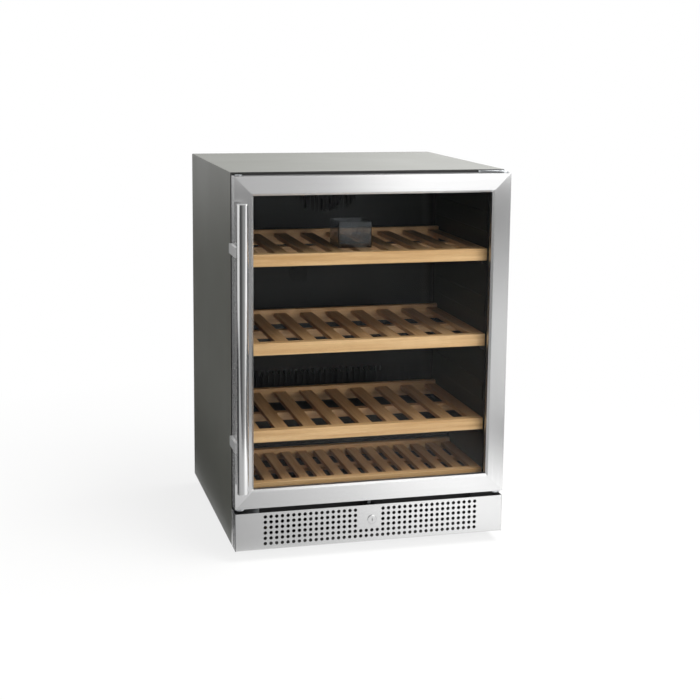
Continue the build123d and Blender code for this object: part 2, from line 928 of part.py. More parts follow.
# Handle: round bar and two brackets that hook it onto the door's left edge
bar_y = door_front - bar_stand
handle_mid = door_mid - handle_drop
with BuildPart() as bar:
    with BuildSketch(Plane.XY.offset(handle_mid - bar_length / 2)):
        with Locations((bar_x, bar_y)):
            Circle(bar_diameter / 2)
    extrude(amount=bar_length)
    chamfer(bar.edges().filter_by(GeomType.CIRCLE), length=bar_chamfer)
save(bar, "handle_bar")

with BuildPart() as brackets:
    for level in (-1, 1):
        z = handle_mid + level * (bar_length / 2 - bracket_inset)
        with BuildSketch(Plane.XY.offset(z - bracket_height / 2)):
            with BuildLine():
                Polyline(
                    (-half, door_front + bracket_grip),
                    (-half - bracket_plate, door_front + bracket_grip),
                    (-half - bracket_plate, bar_y),
                    (bar_x, bar_y),
                    (bar_x, bar_y + bracket_head),
                    (-half, bar_y + bracket_head + bracket_plate),
                    close=True,
                )
            make_face()
            with Locations((bar_x, bar_y)):
                Circle(bar_diameter / 2, mode=Mode.SUBTRACT)
        extrude(amount=bracket_height)
save(brackets, "handle_brackets")


def hinge_bracket(side, z, leg, name, bored=True):
    """Folded hinge plate with a rounded nose over the hinge axis and a leg on the cabinet front."""
    inner = pin_x - hinge_arm
    nose_y = pin_y - nose_reach
    with BuildPart() as bracket:
        with BuildSketch(Plane.XY.offset(z)):
            with BuildLine():
                Polyline(
                    (side * inner, front),
                    (side * (pin_x + hinge_nose), front),
                    (side * (pin_x + hinge_nose), nose_y),
                )
                ThreePointArc(
                    (side * (pin_x + hinge_nose), nose_y),
                    (side * pin_x, nose_y - hinge_nose),
                    (side * (pin_x - hinge_nose), nose_y),
                )
                Line((side * (pin_x - hinge_nose), nose_y), (side * inner, front))
            make_face()
            if bored:
                with Locations((side * pin_x, pin_y)):
                    Circle(pin_radius, mode=Mode.SUBTRACT)
        extrude(amount=hinge_plate)
        low = z + hinge_plate - leg
        x0, x1 = sorted((side * inner, side * (pin_x + hinge_nose)))
        upright_box(x0, x1, front - hinge_plate, front, low, low + leg)
    save(bracket, name)


top_plate = door_top + air
bottom_plate = door_bottom - bush_flange - air - hinge_plate
hinge_bracket(1, top_plate, top_leg, "hinge_bracket_top")
hinge_bracket(1, bottom_plate, bottom_leg, "hinge_bracket_bottom")
hinge_bracket(-1, bottom_plate, bottom_leg, "blank_hinge_plate", bored=False)

# Hinge pins, headed on the outer side of their plates
with BuildPart() as pins:
    for outer, inner, head in (
        (top_plate + hinge_plate, door_top - bush_length + 2 * bush_flange, 0),
        (bottom_plate, door_bottom + bush_length - 2 * bush_flange, -pin_head),
    ):
        with BuildSketch(Plane.XY.offset(min(outer, inner))):
            with Locations((pin_x, pin_y)):
                Circle(pin_radius)
        extrude(amount=abs(outer - inner))
        with BuildSketch(Plane.XY.offset(outer + head)):
            with Locations((pin_x, pin_y)):
                Circle(pin_radius + bush_wall)
        extrude(amount=pin_head)
save(pins, "hinge_pins")

# Plastic bushes in the door's hinge side: a sleeve at the top, a flanged one under the door
with BuildPart() as bushes:
    for z0, z1 in ((door_top - bush_length, door_top), (door_bottom, door_bottom + bush_length)):
        with BuildSketch(Plane.XY.offset(z0)):
            with Locations((pin_x, pin_y)):
                Circle(bush_radius)
                Circle(pin_radius + pin_play, mode=Mode.SUBTRACT)
        extrude(amount=z1 - z0)
    with BuildSketch(Plane.XY.offset(door_bottom - bush_flange)):
        with Locations((pin_x, pin_y)):
            Circle(bush_radius + bush_rim)
            Circle(pin_radius + pin_play, mode=Mode.SUBTRACT)
    extrude(amount=bush_flange)
save(bushes, "hinge_bushes")

# Caps in the spare hinge bores on the door's left side
with BuildPart() as caps:
    for z0, rim0 in ((door_top - bush_length, door_top), (door_bottom, door_bottom - bush_flange)):
        with BuildSketch(Plane.XY.offset(z0)):
            with Locations((-pin_x, pin_y)):
                Circle(bush_radius)
        extrude(amount=bush_length)
        with BuildSketch(Plane.XY.offset(rim0)):
            with Locations((-pin_x, pin_y)):
                Circle(bush_radius + bush_rim)
        extrude(amount=bush_flange)
    with BuildSketch(Plane.XY.offset(door_top + bush_flange)):
        with Locations((-pin_x, pin_y)):
            Circle(bush_radius - bush_rim / 2)
    extrude(amount=-bush_flange, mode=Mode.SUBTRACT)
save(caps, "hinge_bore_caps")

# Kick plate: perforated front with side returns and a bottom fold
lock_z = kick_top - lock_drop
with BuildPart() as kick:
    upright_box(-half, half, door_front, front, body_bottom, kick_top)
    upright_box(
        -half + kick_sheet,
        half - kick_sheet,
        door_front + kick_sheet,
        front,
        body_bottom + kick_sheet,
        kick_top,
        mode=Mode.SUBTRACT,
    )
    hole_columns = int((width - 2 * hole_margin) // hole_pitch_x) + 1
    first_bare = (hole_columns - bare_columns) // 2
    hole_x = -(hole_columns - 1) / 2 * hole_pitch_x
    hole_z = body_bottom + hole_rise - (hole_rows - 1) / 2 * hole_pitch_z
    holes = [
        (hole_x + c * hole_pitch_x, hole_z + r * hole_pitch_z)
        for c in range(hole_columns)
        for r in range(hole_rows)
        if not (first_bare <= c < first_bare + bare_columns and r >= hole_rows - bare_rows)
    ]
    with BuildSketch(facade(door_front)):
        with Locations(*holes):
            RegularPolygon(hole_diameter / 2, hole_sides, rotation=180 / hole_sides)
        with Locations((0, lock_z)):
            Circle(barrel_radius + touch)
    extrude(amount=-kick_sheet, mode=Mode.SUBTRACT)
save(kick, "kick_plate")

# Lock housing: a ring in front of the plate and a barrel behind it
with BuildPart() as housing:
    with BuildSketch(facade(door_front - lock_ring_proud)):
        with Locations((0, lock_z)):
            Circle(lock_ring)
    extrude(amount=-lock_ring_proud)
    chamfer(housing.edges().filter_by(GeomType.CIRCLE).sort_by(Axis.Y)[0], length=lock_ring_proud / 2)
    with BuildSketch(facade(door_front)):
        with Locations((0, lock_z)):
            Circle(barrel_radius)
    extrude(amount=-barrel_length)
    with BuildSketch(facade(door_front - lock_ring_proud)):
        with Locations((0, lock_z)):
            Circle(plug_radius + pin_play)
    extrude(amount=-(barrel_length + lock_ring_proud), mode=Mode.SUBTRACT)
save(housing, "lock_housing")

# Key plug with its cam and cam pin
crank = bolt_travel / sqrt(2)
cam_y = door_front + barrel_length + air
with BuildPart() as plug:
    with BuildSketch(facade(door_front - lock_ring_proud)):
        with Locations((0, lock_z)):
            Circle(plug_radius)
    extrude(amount=-(cam_y - door_front + lock_ring_proud))
    with BuildSketch(facade(cam_y)):
        with Locations((0, lock_z)):
            Circle(cam_radius)
    extrude(amount=-cam_thickness)
    with BuildSketch(facade(cam_y + cam_thickness)):
        with Locations((crank / sqrt(2), lock_z - crank / sqrt(2))):
            Circle(cam_pin_radius)
    extrude(amount=-(bolt_thickness + air))
    with BuildSketch(facade(door_front - lock_ring_proud)):
        with Locations((0, lock_z)):
            Rectangle(*key_slot)
    extrude(amount=-key_depth, mode=Mode.SUBTRACT)
save(plug, "lock_plug")

# Bolt with a slotted yoke that the cam pin lifts
bolt_front = bolt_y - bolt_thickness / 2
yoke_z = lock_z - bolt_travel / 2
slot_half = cam_pin_radius + air
pin_run = crank * (1 - 1 / sqrt(2))
with BuildPart() as bolt:
    with BuildSketch(facade(bolt_front)):
        with Locations((0, (yoke_z + kick_top + bolt_peek) / 2)):
            Rectangle(bolt_width, kick_top + bolt_peek - yoke_z)
        with Locations((0, yoke_z)):
            RectangleRounded(yoke_width, 2 * (slot_half + yoke_wall), slot_half)
            with Locations((crank * (1 + 1 / sqrt(2)) / 2, 0)):
                SlotOverall(pin_run + 2 * slot_half + 2 * air, 2 * slot_half, mode=Mode.SUBTRACT)
    extrude(amount=-bolt_thickness)
save(bolt, "lock_bolt")

# Guide block that keeps the bolt upright behind the plate
with BuildPart() as guide:
    guide_top = kick_top - guide_drop + guide_size[1]
    upright_box(
        -guide_size[0] / 2,
        guide_size[0] / 2,
        door_front + kick_sheet,
        bolt_y + bolt_thickness / 2 + guide_wall,
        guide_top - guide_size[1],
        guide_top,
    )
    upright_box(
        -bolt_width / 2 - air,
        bolt_width / 2 + air,
        bolt_y - bolt_thickness / 2 - air,
        bolt_y + bolt_thickness / 2 + air,
        guide_top - guide_size[1],
        guide_top,
        mode=Mode.SUBTRACT,
    )
save(guide, "bolt_guide")


def rack(number, top, tall, depth_here, slat_w, count):
    """Beech rack: front board, slats that run front to back, and cross rails with a rear stop."""
    run_front = rack_y + board_thickness
    run_back = rack_y + depth_here
    with BuildPart() as board:
        upright_box(-rack_half, rack_half, rack_y, run_front, top - tall, top)
        fillet(board.edges().filter_by(Axis.X).sort_by(Axis.Y)[:2], radius=edge_round)
    save(board, f"rack_{number}_board")
    with BuildPart() as slats:
        pitch = (2 * rack_half - slat_w) / (count - 1)
        with BuildSketch(Plane.XY.offset(top - slat_thickness)):
            with Locations((0, (run_front + run_back - stop_thickness) / 2)):
                with GridLocations(pitch, 1, count, 1):
                    Rectangle(slat_w, run_back - stop_thickness - run_front)
        extrude(amount=slat_thickness)
    with BuildPart() as rails:
        for y in (run_front, (run_front + run_back - rail_thickness) / 2):
            upright_box(-rack_half, rack_half, y, y + rail_thickness, top - tall, top - slat_thickness)
        upright_box(-rack_half, rack_half, run_back - stop_thickness, run_back, top - tall, top + stop_rise)
    grid = Compound(children=[*slats.part.solids(), *rails.part.solids()], label=f"rack_{number}_grid")
    export_step(grid, f"parts/rack_{number}_grid.step")


low_depth = step_front + rack_front - low_rack_clear
for n, rack_top in enumerate(rack_tops, start=1):
    if n < len(rack_tops):
        rack(n, rack_top, board_height, rack_depth, slat_width, slat_count)
    else:
        rack(n, rack_top, lowest_rack_rise - air, low_depth, low_slat_width, low_slat_count)

# Smoked humidity tray that stands on the top rack
with BuildPart() as humid:
    long, deep, tall = humid_size
    humid_y = front + humid_back
    with BuildSketch(Plane.XY.offset(rack_tops[0])):
        with Locations((humid_x, humid_y + deep / 2)):
            RectangleRounded(long, deep, humid_corner)
    extrude(amount=tall)
    with BuildSketch(Plane.XY.offset(rack_tops[0] + humid_wall)):
        with Locations((humid_x, humid_y + deep / 2)):
            RectangleRounded(long - 2 * humid_wall, deep - 2 * humid_wall, humid_corner - humid_wall)
    extrude(amount=tall - humid_wall, mode=Mode.SUBTRACT)
save(humid, "humidity_tray")
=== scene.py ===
# %% [markdown]
# An under-counter wine cooler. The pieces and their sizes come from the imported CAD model; this script gives
# them their finishes, adds the small pieces that CAD leaves out, and sets the light and the camera.
# Everything is in metres, +Z up, and the cooler's front looks along -Y.

# %% Load the frame
import math

import bmesh
import bpy
from mathutils import Matrix, Vector


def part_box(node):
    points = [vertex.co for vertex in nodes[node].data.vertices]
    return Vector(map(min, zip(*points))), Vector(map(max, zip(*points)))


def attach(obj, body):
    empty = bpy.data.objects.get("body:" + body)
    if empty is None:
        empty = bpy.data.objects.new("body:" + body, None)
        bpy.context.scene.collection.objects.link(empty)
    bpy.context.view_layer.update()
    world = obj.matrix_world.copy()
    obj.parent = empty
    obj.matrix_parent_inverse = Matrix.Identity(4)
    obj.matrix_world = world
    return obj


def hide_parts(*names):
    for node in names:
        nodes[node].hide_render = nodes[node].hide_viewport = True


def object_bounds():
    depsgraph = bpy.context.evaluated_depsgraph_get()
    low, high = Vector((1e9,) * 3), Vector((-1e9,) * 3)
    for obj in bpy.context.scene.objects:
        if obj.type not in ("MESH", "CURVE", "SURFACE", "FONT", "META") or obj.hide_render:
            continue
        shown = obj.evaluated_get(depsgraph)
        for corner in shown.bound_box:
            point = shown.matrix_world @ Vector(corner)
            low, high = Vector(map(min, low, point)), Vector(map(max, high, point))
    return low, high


MM = 0.001

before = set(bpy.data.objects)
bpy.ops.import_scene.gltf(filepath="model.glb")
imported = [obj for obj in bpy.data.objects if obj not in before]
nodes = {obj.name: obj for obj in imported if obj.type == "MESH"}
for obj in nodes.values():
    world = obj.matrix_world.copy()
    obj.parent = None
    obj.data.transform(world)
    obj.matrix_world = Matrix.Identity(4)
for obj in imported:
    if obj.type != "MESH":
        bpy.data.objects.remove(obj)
cad_low, cad_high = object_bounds()
scene = bpy.context.scene


# %% [markdown]
# Colours are written as sRGB hex values, the way a paint chart gives them. Shaders work in linear light, so
# one function turns them over. A second small function adds a shader node, sets its options and inputs, and
# links an input when it is given another node's output. Patterns are sized in millimetres: a noise texture of
# scale 1 has cells one metre wide, so a cell of so many millimetres needs 1000 divided by that number.

# %% Colour and shader helpers
def linear(code):
    """Linear RGBA of an sRGB hex colour."""
    parts = [int(code[i:i + 2], 16) / 255 for i in (1, 3, 5)]
    return tuple(c / 12.92 if c <= 0.04045 else ((c + 0.055) / 1.055) ** 2.4 for c in parts) + (1.0,)


def add(tree, kind, inputs=None, **settings):
    """Add a shader node with its settings; an input is a value or the output of another node."""
    made = tree.nodes.new(kind)
    for key, value in settings.items():
        setattr(made, key, value)
    for key, value in (inputs or {}).items():
        if isinstance(value, bpy.types.NodeSocket):
            tree.links.new(value, made.inputs[key])
        else:
            made.inputs[key].default_value = value
    return made


def new_material(name):
    """Empty node material; returns the material, its tree, its output and the place on the object."""
    material = bpy.data.materials.new(name)
    material.use_nodes = True
    tree = material.node_tree
    tree.nodes.clear()
    output = add(tree, "ShaderNodeOutputMaterial")
    return material, tree, output, add(tree, "ShaderNodeTexCoord").outputs["Object"]


def cell_scale(*cell_mm):
    """Noise scale that makes one cell this many millimetres, or as many along each axis."""
    return 1000 / cell_mm[0] if len(cell_mm) == 1 else tuple(1000 / size for size in cell_mm)


print("black and white:", linear("#000000"), linear("#FFFFFF"))


# %% [markdown]
# Brushed stainless steel. An abrasive belt leaves fine parallel scratches, so a reflection is drawn out
# across the grain: up and down on the rails, from side to side on the stiles. That is why the door's mitres
# show as sharp lines. Anisotropy spreads the reflection, and its tangent comes from the object's axis. Real
# scratches are about 0.1 mm wide, finer than a pixel here, so they are drawn 0.5 mm wide, with coarser
# streaks between. The handle bar is polished and its brackets are bead-blasted, so these two have no spread.

# %% Brushed stainless steel
SCRATCH_LONG, SCRATCH_WIDE = 90, 0.5
STREAK_LONG, STREAK_WIDE = 420, 3


def brushed_stainless(name, grain, roughness=0.25, spread=0.9):
    """Stainless steel whose grain runs along X or Z."""
    material, tree, output, place = new_material(name)
    patterns = []
    for long, wide, detail in ((SCRATCH_LONG, SCRATCH_WIDE, 3.0), (STREAK_LONG, STREAK_WIDE, 2.0)):
        scale = cell_scale(long, wide, wide) if grain == "X" else cell_scale(wide, wide, long)
        stretched = add(tree, "ShaderNodeMapping", {"Vector": place, "Scale": scale})
        noise = add(
            tree, "ShaderNodeTexNoise", {"Vector": stretched.outputs[0], "Scale": 1.0, "Detail": detail}
        )
        patterns.append(noise.outputs["Fac"])
    scratch, streak = patterns
    rough = add(
        tree,
        "ShaderNodeMapRange",
        {"Value": streak, "From Min": 0.3, "From Max": 0.7,
         "To Min": roughness - 0.015, "To Max": roughness + 0.02},
    )
    tint = add(
        tree,
        "ShaderNodeMix",
        {"Factor": scratch, "A": linear("#C9C9C9"), "B": linear("#D5D5D5")},
        data_type="RGBA",
    )
    groove = add(tree, "ShaderNodeBump", {"Height": scratch, "Strength": 0.01, "Distance": 0.05 * MM})
    across = add(tree, "ShaderNodeTangent", direction_type="RADIAL", axis=grain)
    shader = add(
        tree,
        "ShaderNodeBsdfPrincipled",
        {
            "Base Color": tint.outputs["Result"],
            "Metallic": 1.0,
            "Roughness": rough.outputs[0],
            "Anisotropic": spread,
            "Tangent": across.outputs[0],
            "Normal": groove.outputs[0],
        },
    )
    tree.links.new(shader.outputs[0], output.inputs["Surface"])
    return material


# Rails and kick plate: light is drawn out up and down.
steel_along_x = brushed_stainless("stainless_brushed_along_x", "X")
# Stiles: light is drawn out from side to side.
steel_along_z = brushed_stainless("stainless_brushed_along_z", "Z")
# Handle bar: narrow light and dark stripes with clean edges.
steel_bar = brushed_stainless("stainless_polished_bar", "Z", roughness=0.14, spread=0.0)
# Brackets: an even, pale grey without streaks.
steel_blasted = brushed_stainless("stainless_bead_blasted", "X", roughness=0.55, spread=0.0)
print("stainless finishes:", steel_along_x.name, steel_along_z.name, steel_bar.name, steel_blasted.name)


# %% [markdown]
# Powder-coated steel. The cabinet wrap and the rear machine cover are sprayed with dry paint and baked, and
# so are the base pan and crossbar, in black, so that nothing shines behind the kick plate's holes. The paint
# flows into a fine orange peel, about 1.5 mm from hump to hump, with a half-matt shine.

# %% Powder-coated steel
PEEL_MM, PAINT_DRIFT_MM = 1.5, 180


def powder_coat(name, light, dark, roughness):
    """Baked powder paint with orange peel and a slow drift of tone."""
    material, tree, output, place = new_material(name)
    peel = add(tree, "ShaderNodeTexNoise", {"Vector": place, "Scale": cell_scale(PEEL_MM), "Detail": 2.0})
    drift = add(
        tree, "ShaderNodeTexNoise", {"Vector": place, "Scale": cell_scale(PAINT_DRIFT_MM), "Detail": 3.0}
    )
    tone = add(
        tree,
        "ShaderNodeMix",
        {"Factor": drift.outputs["Fac"], "A": linear(dark), "B": linear(light)},
        data_type="RGBA",
    )
    rough = add(
        tree,
        "ShaderNodeMapRange",
        {"Value": drift.outputs["Fac"], "To Min": roughness - 0.05, "To Max": roughness + 0.05},
    )
    hump = add(
        tree, "ShaderNodeBump", {"Height": peel.outputs["Fac"], "Strength": 0.25, "Distance": 0.08 * MM}
    )
    shader = add(
        tree,
        "ShaderNodeBsdfPrincipled",
        {
            "Base Color": tone.outputs["Result"],
            "Roughness": rough.outputs[0],
            "IOR": 1.5,
            "Normal": hump.outputs[0],
        },
    )
    tree.links.new(shader.outputs[0], output.inputs["Surface"])
    return material


# Olive grey with wide, soft highlights that fade down the side.
cabinet_paint = powder_coat("powder_coat_olive_grey", "#595A51", "#51524A", roughness=0.36)
# Dull black that hides in the dark behind the holes.
chassis_paint = powder_coat("powder_coat_black", "#1C1C1D", "#161617", roughness=0.5)
print("paints:", cabinet_paint.name, chassis_paint.name)


# %% [markdown]
# Plated and bare metals. Zinc-plated hinge plates and pins are satin with a faint cloudy bloom. The lock bolt
# is cast in zinc and tumbled, so it is pale and dull. The hot-dip galvanised back has crystals, called
# spangle, about 12 mm across. The fins are mill aluminium and the hot-gas tube is drawn copper.

# %% Plated and bare metals
def plated(name, light, dark, roughness, cell_mm, crystals=False):
    """Metal whose tone and shine drift in clouds, or change from crystal to crystal."""
    material, tree, output, place = new_material(name)
    pattern = {"Vector": place, "Scale": cell_scale(cell_mm)}
    if crystals:
        cloud = add(tree, "ShaderNodeTexVoronoi", pattern).outputs["Color"]
    else:
        cloud = add(tree, "ShaderNodeTexNoise", {**pattern, "Detail": 4.0}).outputs["Fac"]
    tone = add(
        tree, "ShaderNodeMix", {"Factor": cloud, "A": linear(dark), "B": linear(light)}, data_type="RGBA"
    )
    rough = add(
        tree, "ShaderNodeMapRange", {"Value": cloud, "To Min": roughness - 0.06, "To Max": roughness + 0.08}
    )
    shader = add(
        tree,
        "ShaderNodeBsdfPrincipled",
        {"Base Color": tone.outputs["Result"], "Metallic": 1.0, "Roughness": rough.outputs[0]},
    )
    tree.links.new(shader.outputs[0], output.inputs["Surface"])
    return material


# Satin silver with a cloudy bloom.
zinc = plated("zinc_plated_steel", "#C9CCCE", "#AEB1B4", roughness=0.32, cell_mm=6)
# Pale and dull, without a clear reflection.
cast_zinc = plated("zinc_die_cast_tumbled", "#E4E6E8", "#DADCDE", roughness=0.86, cell_mm=3)
# Bluish grey, each crystal a little lighter or darker than the next.
galvanised = plated("galvanised_steel", "#B6BABD", "#A4A8AB", roughness=0.42, cell_mm=12, crystals=True)
# Whitish, softly shining grey.
fin_aluminium = plated("mill_aluminium", "#D2D4D6", "#BEC0C2", roughness=0.35, cell_mm=9)
# Warm pink-brown shine.
copper = plated("drawn_copper", "#C9835F", "#A9623F", roughness=0.30, cell_mm=14)
print("plated metals:", zinc.name, cast_zinc.name, galvanised.name, fin_aluminium.name, copper.name)


# %% [markdown]
# Moulded plastics and rubber. The liner and rear cover are black ABS, formed hot over a mould, with a fine
# pebbled skin. The frames and fans are black nylon, the gasket is black EPDM rubber, the drip tray is white
# polypropylene. They differ in colour, shine and the size of the skin's grain, so one function makes them
# all, and the sprayed enamel and the poured foam too.

# %% Plastics, rubber, enamel and foam
TONE_DRIFT_MM = 90


def moulded(name, light, dark, roughness, grain_mm, depth_mm):
    """Plastic or rubber with a grained skin and a slight change of tone."""
    material, tree, output, place = new_material(name)
    grain = add(tree, "ShaderNodeTexNoise", {"Vector": place, "Scale": cell_scale(grain_mm), "Detail": 3.0})
    drift = add(
        tree, "ShaderNodeTexNoise", {"Vector": place, "Scale": cell_scale(TONE_DRIFT_MM), "Detail": 2.0}
    )
    tone = add(
        tree,
        "ShaderNodeMix",
        {"Factor": drift.outputs["Fac"], "A": linear(dark), "B": linear(light)},
        data_type="RGBA",
    )
    rough = add(
        tree,
        "ShaderNodeMapRange",
        {"Value": grain.outputs["Fac"], "To Min": roughness - 0.06, "To Max": roughness + 0.06},
    )
    skin = add(
        tree, "ShaderNodeBump", {"Height": grain.outputs["Fac"], "Strength": 0.3, "Distance": depth_mm * MM}
    )
    shader = add(
        tree,
        "ShaderNodeBsdfPrincipled",
        {
            "Base Color": tone.outputs["Result"],
            "Roughness": rough.outputs[0],
            "IOR": 1.5,
            "Normal": skin.outputs[0],
        },
    )
    tree.links.new(shader.outputs[0], output.inputs["Surface"])
    return material


# Deep black with a weak, broad sheen.
liner_abs = moulded(
    "abs_black_vacuum_formed", "#121213", "#0C0C0D", roughness=0.45, grain_mm=1.2, depth_mm=0.08
)
# Charcoal black, a little dull.
black_nylon = moulded(
    "nylon_black_moulded", "#19191A", "#121213", roughness=0.55, grain_mm=0.8, depth_mm=0.06
)
# Matt black that takes hardly any highlight.
epdm = moulded(
    "epdm_black_extruded", "#161616", "#0F0F0F", roughness=0.68, grain_mm=0.6, depth_mm=0.05
)
# Milky white, slightly waxy.
white_pp = moulded(
    "polypropylene_white_moulded", "#E6E6E2", "#DCDCD8", roughness=0.38, grain_mm=0.9, depth_mm=0.04
)
# Glossy black with small, bright highlights.
pot_enamel = moulded(
    "enamel_black_sprayed", "#1A1A1B", "#121213", roughness=0.25, grain_mm=2.2, depth_mm=0.06
)
# Chalky straw yellow with open pores.
foam = moulded(
    "polyurethane_foam_poured", "#E2CF9C", "#D2BC84", roughness=0.9, grain_mm=2.5, depth_mm=0.5
)
# Milky white that glows evenly when it is lit.
opal = moulded(
    "acrylic_opal_extruded", "#F0F0EC", "#E6E6E2", roughness=0.3, grain_mm=1.5, depth_mm=0.02
)
print("black plastics:", liner_abs.name, black_nylon.name, epdm.name)


# %% [markdown]
# A rack's grid is one CAD node, but its slats run front to back over rails that run side to side, and the
# grain of wood follows its length. Two finishes would need two nodes, so instead the place on the wood is
# turned where the slats are: above their lowest height and in front of the rear stop, X and Y change places.

# %% Grain along the slats
SLAT = 9 * MM
STOP = 14 * MM
SLAT_MARGIN = 0.5 * MM


def turned_on_slats(tree, place, lowest, furthest):
    """Place on a rack, with X and Y changed over above the lowest z and in front of the furthest y."""
    axes = add(tree, "ShaderNodeSeparateXYZ", {"Vector": place})
    above = add(tree, "ShaderNodeMath", {0: axes.outputs["Z"], 1: lowest}, operation="GREATER_THAN")
    before = add(tree, "ShaderNodeMath", {0: axes.outputs["Y"], 1: furthest}, operation="LESS_THAN")
    on_slat = add(tree, "ShaderNodeMath", {0: above.outputs[0], 1: before.outputs[0]}, operation="MULTIPLY")
    turned = add(
        tree,
        "ShaderNodeCombineXYZ",
        {"X": axes.outputs["Y"], "Y": axes.outputs["X"], "Z": axes.outputs["Z"]},
    )
    chosen = add(
        tree,
        "ShaderNodeMix",
        {"Factor": on_slat.outputs[0], "A": place, "B": turned.outputs[0]},
        data_type="VECTOR",
    )
    return chosen.outputs["Result"]


slat_limits = {}
for rack in range(1, 5):
    _, board_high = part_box(f"rack_{rack}_board")
    _, grid_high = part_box(f"rack_{rack}_grid")
    slat_limits[rack] = (board_high.z - SLAT - SLAT_MARGIN, grid_high.y - STOP)
print("slats lie above:", [round(lowest, 4) for lowest, _ in slat_limits.values()], "m")


# %% [markdown]
# Oiled beech. Beech is pale, pinkish straw, with straight grain and short dark flecks where the cut crosses
# the rays: about 0.7 mm wide and 3 mm long. The grain is a noise stretched along the wood, so the finish
# needs to know which way the wood runs.

# %% Oiled beech
BAND_MM, PORE_MM, FLECK_MM = (260, 9, 9), (14, 0.9, 0.9), (7, 1.6, 1.6)


def beech(name, light, dark, slats=None):
    """Oiled beech along X; slats = (lowest z, furthest y) of slats whose grain runs along Y."""
    material, tree, output, place = new_material(name)
    if slats:
        place = turned_on_slats(tree, place, *slats)
    band_at, pore_at, fleck_at = (
        add(tree, "ShaderNodeMapping", {"Vector": place, "Scale": cell_scale(*cell)}).outputs[0]
        for cell in (BAND_MM, PORE_MM, FLECK_MM)
    )
    band = add(
        tree, "ShaderNodeTexNoise", {"Vector": band_at, "Scale": 1.0, "Detail": 4.0, "Distortion": 0.4}
    )
    pore = add(tree, "ShaderNodeTexNoise", {"Vector": pore_at, "Scale": 1.0, "Detail": 3.0})
    fleck = add(tree, "ShaderNodeTexVoronoi", {"Vector": fleck_at, "Scale": 1.0})
    tone = add(tree, "ShaderNodeValToRGB", {"Fac": band.outputs["Fac"]})
    for element, position, colour in zip(tone.color_ramp.elements, (0.34, 0.66), (dark, light)):
        element.position = position
        element.color = linear(colour)
    pore_share = add(
        tree,
        "ShaderNodeMapRange",
        {"Value": pore.outputs["Fac"], "From Min": 0.4, "From Max": 0.75, "To Min": 0.0, "To Max": 0.35},
    )
    pored = add(
        tree,
        "ShaderNodeMix",
        {"Factor": pore_share.outputs[0], "A": tone.outputs["Color"], "B": linear("#B0824C")},
        data_type="RGBA",
    )
    fleck_share = add(
        tree,
        "ShaderNodeMapRange",
        {"Value": fleck.outputs["Distance"], "From Min": 0.05, "From Max": 0.22,
         "To Min": 0.4, "To Max": 0.0},
    )
    wood = add(
        tree,
        "ShaderNodeMix",
        {"Factor": fleck_share.outputs[0], "A": pored.outputs["Result"], "B": linear("#A87A48")},
        data_type="RGBA",
    )
    rough = add(tree, "ShaderNodeMapRange", {"Value": pore.outputs["Fac"], "To Min": 0.38, "To Max": 0.56})
    fibre = add(
        tree, "ShaderNodeBump", {"Height": pore.outputs["Fac"], "Strength": 0.2, "Distance": 0.1 * MM}
    )
    shader = add(
        tree,
        "ShaderNodeBsdfPrincipled",
        {
            "Base Color": wood.outputs["Result"],
            "Roughness": rough.outputs[0],
            "IOR": 1.5,
            "Normal": fibre.outputs[0],
        },
    )
    tree.links.new(shader.outputs[0], output.inputs["Surface"])
    return material


# Warm straw colour with fine dark flecks and a silky shine.
board_beech = beech("beech_oiled_board", "#E5B884", "#C8965E")
print("wood:", board_beech.name)


# %% [markdown]
# Glass. Two float-glass panes are held apart by a spacer. The panes are thin and flat, so light goes straight
# through them, and a transparent shader tints it a little. The mirror image is made weaker than plain glass
# gives it, because the photograph shows hardly any reflection in the door. Fresnel gives more gloss at a flat
# angle, as on real glass, and slow waves in the pane keep the image from being dead straight.

# %% Glass
GLASS_WAVE_MM = 160


def clear_sheet(name, tint, gloss, roughness=0.02, ior=1.5):
    """Thin clear sheet: tint is the share of light that each face lets through, gloss weakens the mirror."""
    material, tree, output, place = new_material(name)
    wave = add(
        tree, "ShaderNodeTexNoise", {"Vector": place, "Scale": cell_scale(GLASS_WAVE_MM), "Detail": 1.0}
    )
    sway = add(
        tree, "ShaderNodeBump", {"Height": wave.outputs["Fac"], "Strength": 0.05, "Distance": 0.4 * MM}
    )
    smear = add(
        tree,
        "ShaderNodeMapRange",
        {"Value": wave.outputs["Fac"], "To Min": roughness, "To Max": roughness + 0.03},
    )
    mirror = add(tree, "ShaderNodeFresnel", {"IOR": ior, "Normal": sway.outputs[0]})
    share = add(tree, "ShaderNodeMath", {0: mirror.outputs[0], 1: gloss}, operation="MULTIPLY")
    through = add(tree, "ShaderNodeBsdfTransparent", {"Color": linear(tint)})
    image = add(tree, "ShaderNodeBsdfGlossy", {"Roughness": smear.outputs[0], "Normal": sway.outputs[0]})
    sheet = add(
        tree, "ShaderNodeMixShader", {0: share.outputs[0], 1: through.outputs[0], 2: image.outputs[0]}
    )
    tree.links.new(sheet.outputs[0], output.inputs["Surface"])
    return material


# Nearly clear, with a faint image of the room.
outer_glass = clear_sheet("float_glass_grey_tint", "#FAFBFB", gloss=0.14)
# Clear, with hardly any image of its own.
inner_glass = clear_sheet("float_glass_low_emissivity", "#FDFEFE", gloss=0.05)
print("glass:", outer_glass.name, inner_glass.name)


# %% [markdown]
# The humidity tray is moulded from smoked SAN, a clear, brittle plastic. Its walls bend the light, so unlike
# the panes it gets real transmission: the walls darken what stands behind them, and their edges catch the
# light, which is what makes the tray readable on a dark ground.

# %% Smoked plastic
FLOW_MM = 25


